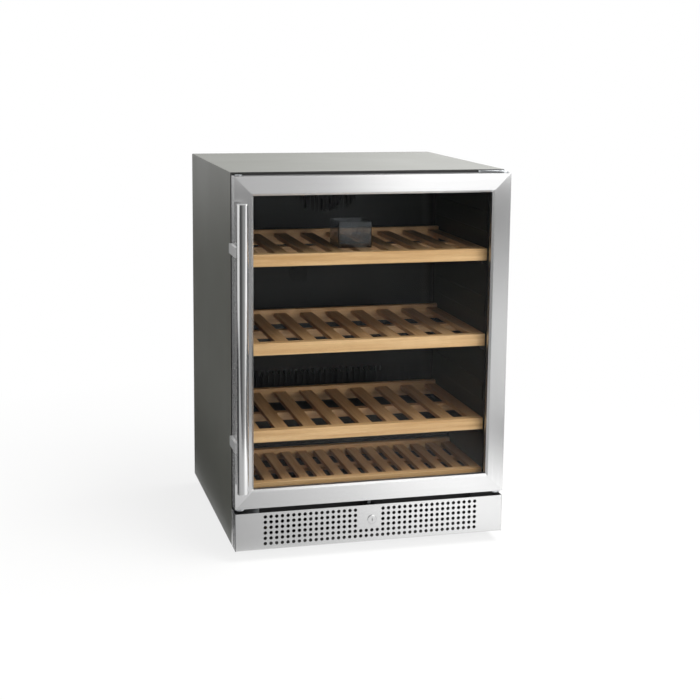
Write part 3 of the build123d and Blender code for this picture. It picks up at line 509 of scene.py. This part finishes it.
def smoked_plastic(name, tint, roughness, ior):
    """Clear moulded plastic with real walls, which bend the light at the edges."""
    material, tree, output, place = new_material(name)
    flow = add(tree, "ShaderNodeTexNoise", {"Vector": place, "Scale": cell_scale(FLOW_MM), "Detail": 2.0})
    ripple = add(
        tree, "ShaderNodeBump", {"Height": flow.outputs["Fac"], "Strength": 0.1, "Distance": 0.2 * MM}
    )
    haze = add(
        tree,
        "ShaderNodeMapRange",
        {"Value": flow.outputs["Fac"], "To Min": roughness, "To Max": roughness + 0.06},
    )
    shader = add(
        tree,
        "ShaderNodeBsdfPrincipled",
        {
            "Base Color": linear(tint),
            "Roughness": haze.outputs[0],
            "IOR": ior,
            "Specular IOR Level": 0.3,
            "Transmission Weight": 1.0,
            "Normal": ripple.outputs[0],
        },
    )
    tree.links.new(shader.outputs[0], output.inputs["Surface"])
    return material


# Grey smoke with clear edges.
smoked_san = smoked_plastic("san_smoked_moulded", "#CDCDD0", roughness=0.02, ior=1.55)
print("tray:", smoked_san.name)


# %% [markdown]
# Each CAD node takes its finish here. Each rack's grid gets a beech of its own, because the slats' height
# tells the finish where the grain turns. The slats look browner than the front boards in the photograph. Part
# of that is shade, but the lamps here don't give enough of it, so the slats' beech is made browner too.

# %% Give every CAD node its finish
finishes = {
    steel_along_x: ["door_rail_top", "door_rail_bottom", "kick_plate", "lock_housing", "lock_plug"],
    steel_blasted: ["handle_brackets"],
    steel_along_z: ["door_rail_left", "door_rail_right"],
    steel_bar: ["handle_bar"],
    cabinet_paint: ["cabinet_wrap", "rear_machine_cover"],
    zinc: ["hinge_bracket_top", "hinge_bracket_bottom", "blank_hinge_plate", "hinge_pins",
           "hinge_bore_caps"],
    cast_zinc: ["lock_bolt"],
    chassis_paint: ["base_pan", "lower_crossbar"],
    galvanised: ["back_panel"],
    fin_aluminium: ["evaporator", "condenser", "glass_spacer"],
    copper: ["discharge_tube"],
    liner_abs: ["liner", "rack_runners", "rear_cover"],
    black_nylon: ["door_core", "door_rear_frame", "evaporator_fan_frame", "condenser_fan_frame",
                  "evaporator_fan_rotor", "condenser_fan_rotor", "charcoal_filter", "control_module",
                  "bolt_guide", "foot_front_left", "foot_front_right", "foot_rear_left",
                  "foot_rear_right"],
    epdm: ["door_seal", "cord_gland", "compressor_mounts"],
    white_pp: ["evaporation_tray", "hinge_bushes"],
    pot_enamel: ["compressor"],
    foam: ["insulation"],
    outer_glass: ["glass_outer"],
    inner_glass: ["glass_inner"],
    smoked_san: ["humidity_tray"],
    opal: ["light_strip"],
    board_beech: [f"rack_{rack}_board" for rack in slat_limits],
}
for rack, slats in slat_limits.items():
    # Browner than the boards, so that the slats sink into the shade behind them.
    finishes[beech(f"beech_oiled_rack_{rack}", "#CCA073", "#AE8154", slats)] = [f"rack_{rack}_grid"]

for material, names in finishes.items():
    for name in names:
        nodes[name].data.materials.clear()
        nodes[name].data.materials.append(material)
print("dressed nodes:", sum(len(names) for names in finishes.values()), "of", len(nodes))


# %% [markdown]
# Pieces that the CAD model keeps plain or leaves out are made here as meshes. One function takes the points
# and faces of a piece, turns its faces outwards, and ties it to the body that carries it. The others help
# with long pieces of one section, with pieces that are made of several solids, and with circles.

# %% Helpers for new pieces
WELD_MM = 0.002


def new_piece(name, points, faces, material, body, slot, stands_for=()):
    """Mesh piece, in millimetres, that rides on a body and may stand for CAD nodes."""
    mesh = bpy.data.meshes.new(name)
    mesh.from_pydata([Vector(p) * MM for p in points], [], faces)
    shape = bmesh.new()
    shape.from_mesh(mesh)
    bmesh.ops.remove_doubles(shape, verts=shape.verts, dist=WELD_MM * MM)
    bmesh.ops.recalc_face_normals(shape, faces=shape.faces)
    shape.to_mesh(mesh)
    shape.free()
    mesh.materials.append(material)
    piece = bpy.data.objects.new(name, mesh)
    scene.collection.objects.link(piece)
    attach(piece, body)
    if stands_for:
        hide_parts(*stands_for)
    print(name, "faces:", len(mesh.polygons))
    return piece


def strip(path, start, end, place):
    """Closed section swept straight from start to end; place turns (u, v, w) to XYZ."""
    count = len(path)
    points = [place(u, v, w) for w in (start, end) for u, v in path]
    sides = [(n, (n + 1) % count, count + (n + 1) % count, count + n) for n in range(count)]
    return points, sides + [tuple(range(count))[::-1], tuple(range(count, 2 * count))]


def joined(parts):
    """One list of points and one of faces out of several."""
    points, faces = [], []
    for more_points, more_faces in parts:
        faces += [tuple(i + len(points) for i in face) for face in more_faces]
        points += more_points
    return points, faces


def full_turn(count):
    """Evenly spaced angles of one turn."""
    return [2 * math.pi * n / count for n in range(count)]


print("points nearer than", WELD_MM, "mm are welded")


# %% [markdown]
# The kick plate is one stainless sheet, punched with rows of round holes and then folded at its two ends and
# along the bottom. Punching leaves true circles, finer than the CAD solid shows. The holes stand in an even
# grid, and the grid leaves a bare field round the lock.

# %% Kick plate holes
HOLE_POINTS = 20
HOLE_RADIUS = 3.8
HOLE_COLUMNS, HOLE_ROWS = 39, 6
HOLE_PITCH_X, HOLE_PITCH_Z = 12.28, 11.74
HOLE_FIRST_Z = 38.25
BARE_COLUMNS, BARE_ROWS = range(17, 21), range(2, 6)
LOCK_RADIUS, LOCK_Z = 8.2, 74.0

hole_first_x = -(HOLE_COLUMNS - 1) / 2 * HOLE_PITCH_X
holes = [
    (hole_first_x + column * HOLE_PITCH_X, HOLE_FIRST_Z + row * HOLE_PITCH_Z, HOLE_RADIUS)
    for column in range(HOLE_COLUMNS)
    for row in range(HOLE_ROWS)
    if not (column in BARE_COLUMNS and row in BARE_ROWS)
]
holes.append((0.0, LOCK_Z, LOCK_RADIUS))
print("holes:", len(holes))


# %% [markdown]
# A flat curve is the easy way to a sheet with many holes: the outline and every circle are closed splines,
# and Blender fills what lies between them and gives it a thickness. The curve is turned into points and faces
# and then thrown away.

# %% Kick plate sheet
SHEET = 1.2
BEND = 2.0

kick_low, kick_high = (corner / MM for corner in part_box("kick_plate"))
flat_x, flat_z = kick_high.x - BEND, kick_low.z + BEND
loops = [[(-flat_x, flat_z), (flat_x, flat_z), (flat_x, kick_high.z), (-flat_x, kick_high.z)]]
for x, z, radius in holes:
    loops.append([(x + radius * math.cos(t), z + radius * math.sin(t)) for t in full_turn(HOLE_POINTS)])

outline = bpy.data.curves.new("kick_plate_outline", "CURVE")
outline.dimensions = "2D"
outline.fill_mode = "BOTH"
outline.extrude = SHEET / 2
for loop in loops:
    spline = outline.splines.new("POLY")
    spline.points.add(len(loop) - 1)
    for point, (x, z) in zip(spline.points, loop):
        point.co = (x, z, 0, 1)
    spline.use_cyclic_u = True
drawn = bpy.data.objects.new("kick_plate_outline", outline)
punched = bpy.data.meshes.new_from_object(drawn)
front_points = [(v.co.x, kick_low.y + SHEET / 2 - v.co.z, v.co.y) for v in punched.vertices]
front_faces = [tuple(face.vertices) for face in punched.polygons]
bpy.data.objects.remove(drawn)
bpy.data.curves.remove(outline)
bpy.data.meshes.remove(punched)
print("punched sheet faces:", len(front_faces))


# %% [markdown]
# Folding leaves a 2 mm outer radius. The section of a fold is drawn once, and three lengths of it are swept
# along the sheet's ends and its bottom edge.

# %% Kick plate folds
FOLD_STEP, FOLD_ANGLES = 15, 7


def folded_edge(depth):
    """Section of a fold: u runs from the flat sheet to the outer face, v from the front face to the back."""
    quarter = [math.radians(FOLD_STEP * n) for n in range(FOLD_ANGLES)]
    sides = []
    for radius in (BEND, BEND - SHEET):
        curve = [(radius * math.sin(t), BEND - radius * math.cos(t)) for t in quarter]
        sides.append(curve + [(radius, depth)])
    outer, inner = sides
    return outer + inner[::-1]


fold = folded_edge(kick_high.y - kick_low.y)
folds = [
    strip(fold, kick_low.z, kick_high.z, lambda u, v, w, s=side: (s * (flat_x + u), kick_low.y + v, w))
    for side in (-1, 1)
]
folds.append(strip(fold, -flat_x, flat_x, lambda u, v, w: (w, kick_low.y + v, flat_z - u)))
new_piece(
    "kick_plate_punched",
    *joined([(front_points, front_faces), *folds]),
    steel_along_x,
    "cabinet",
    "stainless",
    ["kick_plate"],
)


# %% [markdown]
# The door seal is an extruded rubber section: a foot that clips into the door's rear frame, a thin-walled
# bellows that folds, and a soft tube with a magnet strip inside, which pulls itself to the cabinet. Four
# lengths are welded at 45 degree corners, so the section is drawn once and carried round four corners.

# %% Door seal
SEAL_TALL = 11.7
SEAL_SECTION = [
    (0.6, 0.0), (0.0, 0.5), (0.0, 2.3), (0.5, 3.0), (2.2, 3.3), (2.6, 4.0), (1.0, 5.2), (1.0, 5.8),
    (2.4, 6.9), (0.9, 7.5), (0.2, 8.1), (0.0, 9.0), (0.1, 10.6), (0.7, 11.4), (1.6, 11.7), (4.6, 11.7),
    (5.0, 11.3), (5.4, 11.7), (8.4, 11.7), (9.3, 11.4), (9.9, 10.6), (10.0, 9.0), (9.8, 8.1), (9.1, 7.5),
    (7.6, 6.9), (9.0, 5.8), (9.0, 5.2), (7.4, 4.0), (7.8, 3.3), (9.5, 3.0), (10.0, 2.3), (10.0, 0.5),
    (9.4, 0.0),
]

seal_low, seal_high = (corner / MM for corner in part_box("door_seal"))
points, faces = [], []
for inset, rise in SEAL_SECTION:
    y = seal_low.y + rise * (seal_high.y - seal_low.y) / SEAL_TALL
    left, right = seal_low.x + inset, seal_high.x - inset
    bottom, top = seal_low.z + inset, seal_high.z - inset
    points += [(left, y, bottom), (right, y, bottom), (right, y, top), (left, y, top)]
rounds = len(SEAL_SECTION)
for n in range(rounds):
    here, there = 4 * n, 4 * ((n + 1) % rounds)
    for corner in range(4):
        onward = (corner + 1) % 4
        faces.append((here + corner, here + onward, there + onward, there + corner))
new_piece("door_seal_bellows", points, faces, epdm, "door", "rubber_black", ["door_seal"])


# %% [markdown]
# Screws. The upper hinge plate is held by two button-head screws with a hexagon socket and a head 8 mm
# across; smaller ones hold the back's folded edge. A head is a stack of rings, and the ring at the socket
# takes its radius from the formula of a hexagon.

# %% Screw heads
HEAD_POINTS = 24
HEAD_RINGS = [(0.50, 0.00), (0.49, 0.06), (0.44, 0.15), (0.36, 0.22), (0.28, 0.26)]
SOCKET_HALF, SOCKET_RIM, SOCKET_FLOOR = 0.19, 0.26, 0.10


def screw_heads(name, places, facing, width):
    """Button heads of this width at places on a face of the cabinet; facing is the way they look, along Y."""
    tall = len(HEAD_RINGS) + 2
    parts = []
    for x, y, z in places:
        points, faces = [], []
        for n, turn in enumerate(full_turn(HEAD_POINTS)):
            socket = SOCKET_HALF / math.cos((turn % (math.pi / 3)) - math.pi / 6)
            column = HEAD_RINGS + [(socket, SOCKET_RIM), (socket, SOCKET_FLOOR)]
            points += [
                (x + r * width * math.cos(turn), y + facing * h * width, z + r * width * math.sin(turn))
                for r, h in column
            ]
            a, b = n * tall, (n + 1) % HEAD_POINTS * tall
            faces += [(a + k, b + k, b + k + 1, a + k + 1) for k in range(tall - 1)]
        faces.append(tuple(n * tall for n in range(HEAD_POINTS)))
        faces.append(tuple(n * tall + tall - 1 for n in range(HEAD_POINTS)))
        parts.append((points, faces))
    return new_piece(name, *joined(parts), zinc, "cabinet", "zinc_steel")


print("points of a head:", HEAD_POINTS * (len(HEAD_RINGS) + 2))


# %% [markdown]
# The hinge screws go through the plate's upright leg, behind the door. The back's screws stand along the
# folded edge of the wrap, at both sides and at the top.

# %% Hinge and back screws
HINGE_LEG_Y, HINGE_SCREW_RISE = -221.0, 7
HINGE_SCREW_X, HINGE_SCREW_WIDE = (246, 261), 8
HEM_INSET, BACK_SCREW_WIDE = 7.5, 7
BACK_SCREW_Z, BACK_SCREW_X = (60, 160, 300, 450, 600, 750), (-200, 0, 200)

bracket_low, _ = (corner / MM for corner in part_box("hinge_bracket_top"))
wrap_low, wrap_high = (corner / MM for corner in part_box("cabinet_wrap"))
hinge_places = [(x, HINGE_LEG_Y, bracket_low.z + HINGE_SCREW_RISE) for x in HINGE_SCREW_X]
screw_heads("hinge_screws", hinge_places, facing=-1, width=HINGE_SCREW_WIDE)
back_places = [
    (side * (wrap_high.x - HEM_INSET), wrap_high.y, z) for side in (-1, 1) for z in BACK_SCREW_Z
]
back_places += [(x, wrap_high.y, wrap_high.z - HEM_INSET) for x in BACK_SCREW_X]
screw_heads("back_screws", back_places, facing=1, width=BACK_SCREW_WIDE)


# %% [markdown]
# A thin black strip is laid on the cut front edge of the painted sheet, along the two sides and the top. It
# is painted shade: it stands in for the shade in the gap round the door, so that nothing bright shows there.

# %% Painted shade strip on the front edge
SHADE_STRIP_WIDE, SHADE_STRIP_THICK, SHADE_STRIP_FOOT = 1.9, 0.3, 0.6
SHADE_STRIP_CORNER, SHADE_STRIP_SHOULDER, TOP_SHADE_STRIP_SHARE = 0.3, 0.6, 0.8

shoulder = SHADE_STRIP_THICK * SHADE_STRIP_SHOULDER
shade_section = [(0, 0), (0, shoulder), (SHADE_STRIP_CORNER, SHADE_STRIP_THICK), (SHADE_STRIP_WIDE - SHADE_STRIP_CORNER, SHADE_STRIP_THICK),
        (SHADE_STRIP_WIDE, shoulder), (SHADE_STRIP_WIDE, 0)]
top_shade_section = [(u * TOP_SHADE_STRIP_SHARE, v) for u, v in shade_section]
edge_x, edge_y, edge_z = wrap_high.x, wrap_low.y, wrap_high.z
shade_strips = [
    strip(shade_section, kick_high.z + SHADE_STRIP_FOOT, edge_z, lambda u, v, w, s=side: (s * (edge_x - u), edge_y - v, w))
    for side in (-1, 1)
]
shade_strips.append(
    strip(top_shade_section, SHADE_STRIP_WIDE - edge_x, edge_x - SHADE_STRIP_WIDE, lambda u, v, w: (w, edge_y - v, edge_z - u))
)
# Painted shade: this black strip stands in for the shade in the gap round the door.
new_piece("gap_shade_strip", *joined(shade_strips), black_nylon, "cabinet", "frame_black")


# %% [markdown]
# The control module on the ceiling has a window on its underside, sprayed glossy black, with a blank display.
# The window is a thin plate with rounded corners, so its outline is four arcs joined by straight lines.

# %% Control window
WINDOW_HALF_X, WINDOW_HALF_Y, WINDOW_THICK, WINDOW_CORNER = 58.0, 13.0, 0.8, 4.0
CORNER_STEPS = 4

control_low, control_high = (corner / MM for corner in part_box("control_module"))
control_y = (control_low.y + control_high.y) / 2


def on_ceiling(u, v, w):
    """Place on the module's underside: w runs down from it."""
    return (u, control_y + v, control_low.z - w)


plate = []
for quarter, (side_x, side_y) in enumerate(((1, 1), (-1, 1), (-1, -1), (1, -1))):
    for step in range(CORNER_STEPS + 1):
        turn = math.pi / 2 * (quarter + step / CORNER_STEPS)
        plate.append((side_x * (WINDOW_HALF_X - WINDOW_CORNER) + WINDOW_CORNER * math.cos(turn),
                      side_y * (WINDOW_HALF_Y - WINDOW_CORNER) + WINDOW_CORNER * math.sin(turn)))
window = strip(plate, 0, WINDOW_THICK, on_ceiling)
new_piece("control_window", *window, pot_enamel, "cabinet", "frame_black")


# %% [markdown]
# Four bare touch rings stand a little proud of the window, two at each side of the display. A ring is a flat
# hoop: a small section that is carried round a circle.

# %% Touch rings
RING_POINTS, RING_RISE = 28, 0.2
RING_CENTRES = (-44, -26, 26, 44)
RING_SECTION = ((4.6, 0.0), (4.5, RING_RISE), (3.9, RING_RISE), (3.8, 0.0))

rings = []
for centre in RING_CENTRES:
    points, faces = [], []
    for n, turn in enumerate(full_turn(RING_POINTS)):
        points += [
            on_ceiling(centre + r * math.cos(turn), r * math.sin(turn), WINDOW_THICK + rise)
            for r, rise in RING_SECTION
        ]
        a, b = 4 * n, 4 * ((n + 1) % RING_POINTS)
        faces += [(a + k, b + k, b + (k + 1) % 4, a + (k + 1) % 4) for k in range(4)]
    rings.append((points, faces))
new_piece("control_touch_rings", *joined(rings), white_pp, "cabinet", "white_plastic")


# %% [markdown]
# No real edge is knife-sharp. Planed beech is eased with sandpaper, so the boards and slats get a rounded
# edge of about 1 mm. A Bevel modifier rounds the edges of a CAD node and leaves its mesh as it is.

# %% Eased edges
EASED_MM, EASED_SEGMENTS, EASED_ANGLE = 1.0, 2, 40

eased = [f"rack_{rack}_{kind}" for rack in slat_limits for kind in ("board", "grid")]
for name in eased:
    bevel = nodes[name].modifiers.new("eased_edges", "BEVEL")
    bevel.width = EASED_MM * MM
    bevel.segments = EASED_SEGMENTS
    bevel.limit_method = "ANGLE"
    bevel.angle_limit = math.radians(EASED_ANGLE)
print("eased nodes:", len(eased))


# %% [markdown]
# The studio. A pale floor runs under the cooler and out of sight, and the world behind it is white for the
# camera, for gloss and for clear sheets, while it lights dull surfaces only gently. The paper is brightest
# far away, where no lamp reaches, so that floor and world meet without a line, and near the cooler it keeps
# the shadow.

# %% Floor
FLOOR_REACH = 30.0
SHADOW_SHARE = 0.2
SHADOW_FULL, SHADOW_GONE = 0.6, 1.5

scene.view_settings.view_transform = "Standard"


def seen_directly(tree):
    """1 for camera, glossy and transmission rays, 0 for light that falls on dull surfaces."""
    path = add(tree, "ShaderNodeLightPath")
    seen = path.outputs["Is Camera Ray"]
    for ray in ("Is Glossy Ray", "Is Transmission Ray"):
        seen = add(tree, "ShaderNodeMath", {0: seen, 1: path.outputs[ray]}, operation="MAXIMUM").outputs[0]
    return seen


def stage_sheet(name, corners, material):
    """Flat stage sheet through its corners, one face for every four of them."""
    mesh = bpy.data.meshes.new(name)
    mesh.from_pydata(corners, [], [range(n, n + 4) for n in range(0, len(corners), 4)])
    mesh.materials.append(material)
    sheet = bpy.data.objects.new(name, mesh)
    scene.collection.objects.link(sheet)
    return sheet


# White paper: blank, but for the soft shadow.
paper, tree, output, place = new_material("studio_paper_white")
distance = add(tree, "ShaderNodeVectorMath", {0: place}, operation="LENGTH")
far_share = add(
    tree,
    "ShaderNodeMapRange",
    {"Value": distance.outputs["Value"], "From Min": SHADOW_FULL, "From Max": SHADOW_GONE,
     "To Min": 1 - SHADOW_SHARE, "To Max": 1.0},
)
white_share = add(
    tree, "ShaderNodeMath", {0: seen_directly(tree), 1: far_share.outputs[0]}, operation="MULTIPLY"
)
dull = add(tree, "ShaderNodeBsdfDiffuse", {"Color": linear("#F4F4F2")})
glow = add(tree, "ShaderNodeEmission", {"Color": linear("#FFFFFF"), "Strength": 1.0})
mixed = add(tree, "ShaderNodeMixShader", {0: white_share.outputs[0], 1: dull.outputs[0], 2: glow.outputs[0]})
tree.links.new(mixed.outputs[0], output.inputs["Surface"])
r = FLOOR_REACH
stage_sheet("studio_floor", [(-r, -r, 0), (r, -r, 0), (r, r, 0), (-r, r, 0)], paper)
print("floor reach:", FLOOR_REACH, "m")


# %% [markdown]
# The world has two strengths. What is seen directly gets 1, which is white, and what falls on dull surfaces
# as light gets much less, so that the lamps keep their modelling.

# %% World
WORLD_SEEN, WORLD_FILL = 1.0, 0.3

world = bpy.data.worlds.new("studio")
scene.world = world
world.use_nodes = True
sky = world.node_tree
sky.nodes.clear()
fill = add(sky, "ShaderNodeBackground", {"Color": linear("#FFFFFF"), "Strength": WORLD_FILL})
white = add(sky, "ShaderNodeBackground", {"Color": linear("#FFFFFF"), "Strength": WORLD_SEEN})
both = add(sky, "ShaderNodeMixShader", {0: seen_directly(sky), 1: fill.outputs[0], 2: white.outputs[0]})
add(sky, "ShaderNodeOutputWorld", {"Surface": both.outputs[0]})
print("world:", world.name)


# %% [markdown]
# Steel shows what stands round it, so a photographer sets cards where the metal will mirror them. A card here
# is a sheet that glows by an amount that changes with the place on it. The amount is a sum of glows, and a
# glow is a product of smooth steps: each step names an axis, where it starts and ends, and the levels before
# and after. Only glossy rays meet a card: the camera, shadows and dull surfaces don't.

# %% Reflection card helper
CARD_Y, CARD_TOP, CARD_HALF = -1.2, 2.4, 2.6
LIFT = 2 * MM


def reflection_card(name, corners, glows, level=0.0):
    """Glowing sheet for glossy rays; a glow is a list of steps (axis, start, end, before, after)."""
    material, tree, output, place = new_material(name)
    axes = add(tree, "ShaderNodeSeparateXYZ", {"Vector": place})
    for steps in glows:
        glow = 1.0
        for axis, start, end, before, after in steps:
            step = add(
                tree,
                "ShaderNodeMapRange",
                {"Value": axes.outputs[axis], "From Min": start, "From Max": end,
                 "To Min": before, "To Max": after},
                interpolation_type="SMOOTHSTEP",
            )
            glow = add(tree, "ShaderNodeMath", {0: glow, 1: step.outputs[0]}, operation="MULTIPLY").outputs[0]
        level = add(tree, "ShaderNodeMath", {0: level, 1: glow}, operation="ADD").outputs[0]
    shine = add(tree, "ShaderNodeEmission", {"Color": linear("#FFFFFF"), "Strength": level})
    tree.links.new(shine.outputs[0], output.inputs["Surface"])
    card = stage_sheet(name, corners, material)
    card.visible_camera = False
    card.visible_diffuse = False
    card.visible_transmission = False
    card.visible_volume_scatter = False
    card.visible_shadow = False
    print(name, "glows:", len(glows))


print("front card:", 2 * CARD_HALF, "x", CARD_TOP, "m")


# %% [markdown]
# The card in front of the door is grey, and darker to the left. A bright band above the door's height lights
# the top rail alone, because only the rails draw their reflection out up and down. A lower band brightens the
# right stile towards its foot, and a strip far to the right gives the bar its bright edge. The card on the
# floor is for the bottom rail and the kick plate.

# %% Front and floor cards
FLOOR_CARD_BACK = cad_low.y - 10 * MM
FRONT_GLOWS = [
    # Grey, darker to the left.
    [("X", -0.9, 0.0, 0.09, 0.36)],
    # Band above the door, for the top rail.
    [("Z", 0.70, 0.80, 0.0, 1.0), ("X", 0.05, 0.42, 0.50, 2.4)],
    # Low band, for the foot of the right stile.
    [("Z", 0.25, 0.66, 0.6, 0.0), ("X", 0.22, 0.34, 0.0, 1.0)],
    # Strip far to the right, for the bar.
    [("X", 1.05, 1.3, 0.0, 1.3)],
]
FLOOR_GLOWS = [
    # Brighter to the right and away from the door, and dark past the right corner.
    [("X", -0.4, 0.5, 0.56, 1.56), ("X", 0.46, 0.60, 1.0, 0.10), ("Y", -0.64, -0.5, 1.2, 0.93)],
]

reflection_card(
    "studio_card_front",
    [(-CARD_HALF, CARD_Y, LIFT), (CARD_HALF, CARD_Y, LIFT), (CARD_HALF, CARD_Y, CARD_TOP),
     (-CARD_HALF, CARD_Y, CARD_TOP)],
    FRONT_GLOWS,
)
reflection_card(
    "studio_card_floor",
    [(-CARD_HALF, CARD_Y, LIFT), (CARD_HALF, CARD_Y, LIFT), (CARD_HALF, FLOOR_CARD_BACK, LIFT),
     (-CARD_HALF, FLOOR_CARD_BACK, LIFT)],
    FLOOR_GLOWS,
)


# %% [markdown]
# A plain grey card hangs above, and a card stands far behind, where the painted top looks at a flat angle: it
# is brighter to the right, and so is the top. A dark flag stands and lies at the left, where the painted side
# looks. It is lighter high up, and a narrow strip on it puts a line of light on the door's left edge.

# %% Ceiling card, back card and flag
CEILING_LEVEL = 0.5
BACK_Y, BACK_LOW, BACK_HIGH = 3.0, 1.0, 3.5
BACK_GLOWS = [
    # Brighter to the right.
    [("X", 0.2, 1.2, 0.92, 1.6)],
]
FLAG_Y, FLAG_TOP = 1.6, 1.3
FLAG_OUTER, FLAG_INNER = -2.6, cad_low.x - 20 * MM
FLAG_GLOWS = [
    # Dark at the foot, lighter high up.
    [("Z", 0.35, 0.8, 0.06, 0.6)],
    # Narrow upright strip.
    [("X", -0.635, -0.605, 1.15, 0.0), ("X", -0.71, -0.66, 0.0, 1.0)],
]

reflection_card(
    "studio_card_ceiling",
    [(-CARD_HALF, CARD_Y, CARD_TOP), (CARD_HALF, CARD_Y, CARD_TOP), (CARD_HALF, cad_high.y, CARD_TOP),
     (-CARD_HALF, cad_high.y, CARD_TOP)],
    glows=[],
    level=CEILING_LEVEL,
)
reflection_card(
    "studio_card_back",
    [(-CARD_HALF, BACK_Y, BACK_LOW), (CARD_HALF, BACK_Y, BACK_LOW), (CARD_HALF, BACK_Y, BACK_HIGH),
     (-CARD_HALF, BACK_Y, BACK_HIGH)],
    BACK_GLOWS,
)
reflection_card(
    "studio_flag_left",
    [(FLAG_OUTER, FLAG_Y, LIFT), (FLAG_INNER, FLAG_Y, LIFT), (FLAG_INNER, FLAG_Y, FLAG_TOP),
     (FLAG_OUTER, FLAG_Y, FLAG_TOP), (FLAG_OUTER, cad_low.y, LIFT), (FLAG_INNER, cad_low.y, LIFT),
     (FLAG_INNER, FLAG_Y, LIFT), (FLAG_OUTER, FLAG_Y, LIFT)],
    FLAG_GLOWS,
)


# %% [markdown]
# Large soft lamps stand high at the right front, above, in front at half height, and at the left. Large lamps
# give soft edges to every shadow, and their powers are set so that a colour renders about as it is written.
# The high key lamp lets the racks sink into the dark towards the back. The front lamp lights the boards
# behind the glass, and it is hidden from gloss and from clear plastic, so that it leaves no spot on the
# steel.

# %% Lamps
middle = (cad_low + cad_high) / 2


def softbox(name, place, width, height, power):
    """Rectangular soft lamp that looks at the middle of the cooler."""
    lamp = bpy.data.lights.new(name, "AREA")
    lamp.shape = "RECTANGLE"
    lamp.size = width
    lamp.size_y = height
    lamp.energy = power
    stand = bpy.data.objects.new(name, lamp)
    stand.location = place
    stand.rotation_mode = "QUATERNION"
    stand.rotation_quaternion = (middle - Vector(place)).to_track_quat("-Z", "Y")
    scene.collection.objects.link(stand)
    return stand


softbox("softbox_key", (1.0, -1.9, 3.3), width=1.8, height=1.8, power=74)
softbox("softbox_top", (0.7, -0.1, 2.6), width=2.0, height=1.8, power=52)
low_lamp = softbox("softbox_low", (0.9, -2.8, 0.85), width=1.6, height=0.8, power=30)
low_lamp.visible_glossy = False
low_lamp.visible_transmission = False
softbox("softbox_left", (-2.8, -1.2, 1.3), width=1.4, height=1.8, power=8)
print("lamps:", len(bpy.data.lights))


# %% [markdown]
# The camera. The photograph is taken from the left front and a little above, with the upright edges kept
# nearly parallel, which a small vertical shift gives. Its place was worked out from the corners of the
# cabinet, door and kick plate.

# %% Camera
CAMERA_PLACE = Vector((-0.7895, -3.031, 1.0649))
YAW, PITCH, ROLL = (math.radians(a) for a in (14.87, 9.28, 0.59))
FOCAL_PX = 1395.8
IMAGE_PX = 700
AXIS_ROW_PX = 280
SENSOR_MM = 36.0

camera_data = bpy.data.cameras.new("camera")
camera_data.sensor_width = SENSOR_MM
camera_data.lens = FOCAL_PX / IMAGE_PX * SENSOR_MM
camera_data.shift_y = (AXIS_ROW_PX - IMAGE_PX / 2) / IMAGE_PX
camera = bpy.data.objects.new("camera", camera_data)
ahead = Vector((math.sin(YAW) * math.cos(PITCH), math.cos(YAW) * math.cos(PITCH), -math.sin(PITCH)))
level = Vector((math.cos(YAW), -math.sin(YAW), 0))
upright = level.cross(ahead)
right = math.cos(ROLL) * level + math.sin(ROLL) * upright
up = right.cross(ahead)
camera.matrix_world = Matrix.Translation(CAMERA_PLACE) @ Matrix((right, up, -ahead)).transposed().to_4x4()
scene.collection.objects.link(camera)
scene.camera = camera
print("lens:", round(camera_data.lens, 1), "mm")
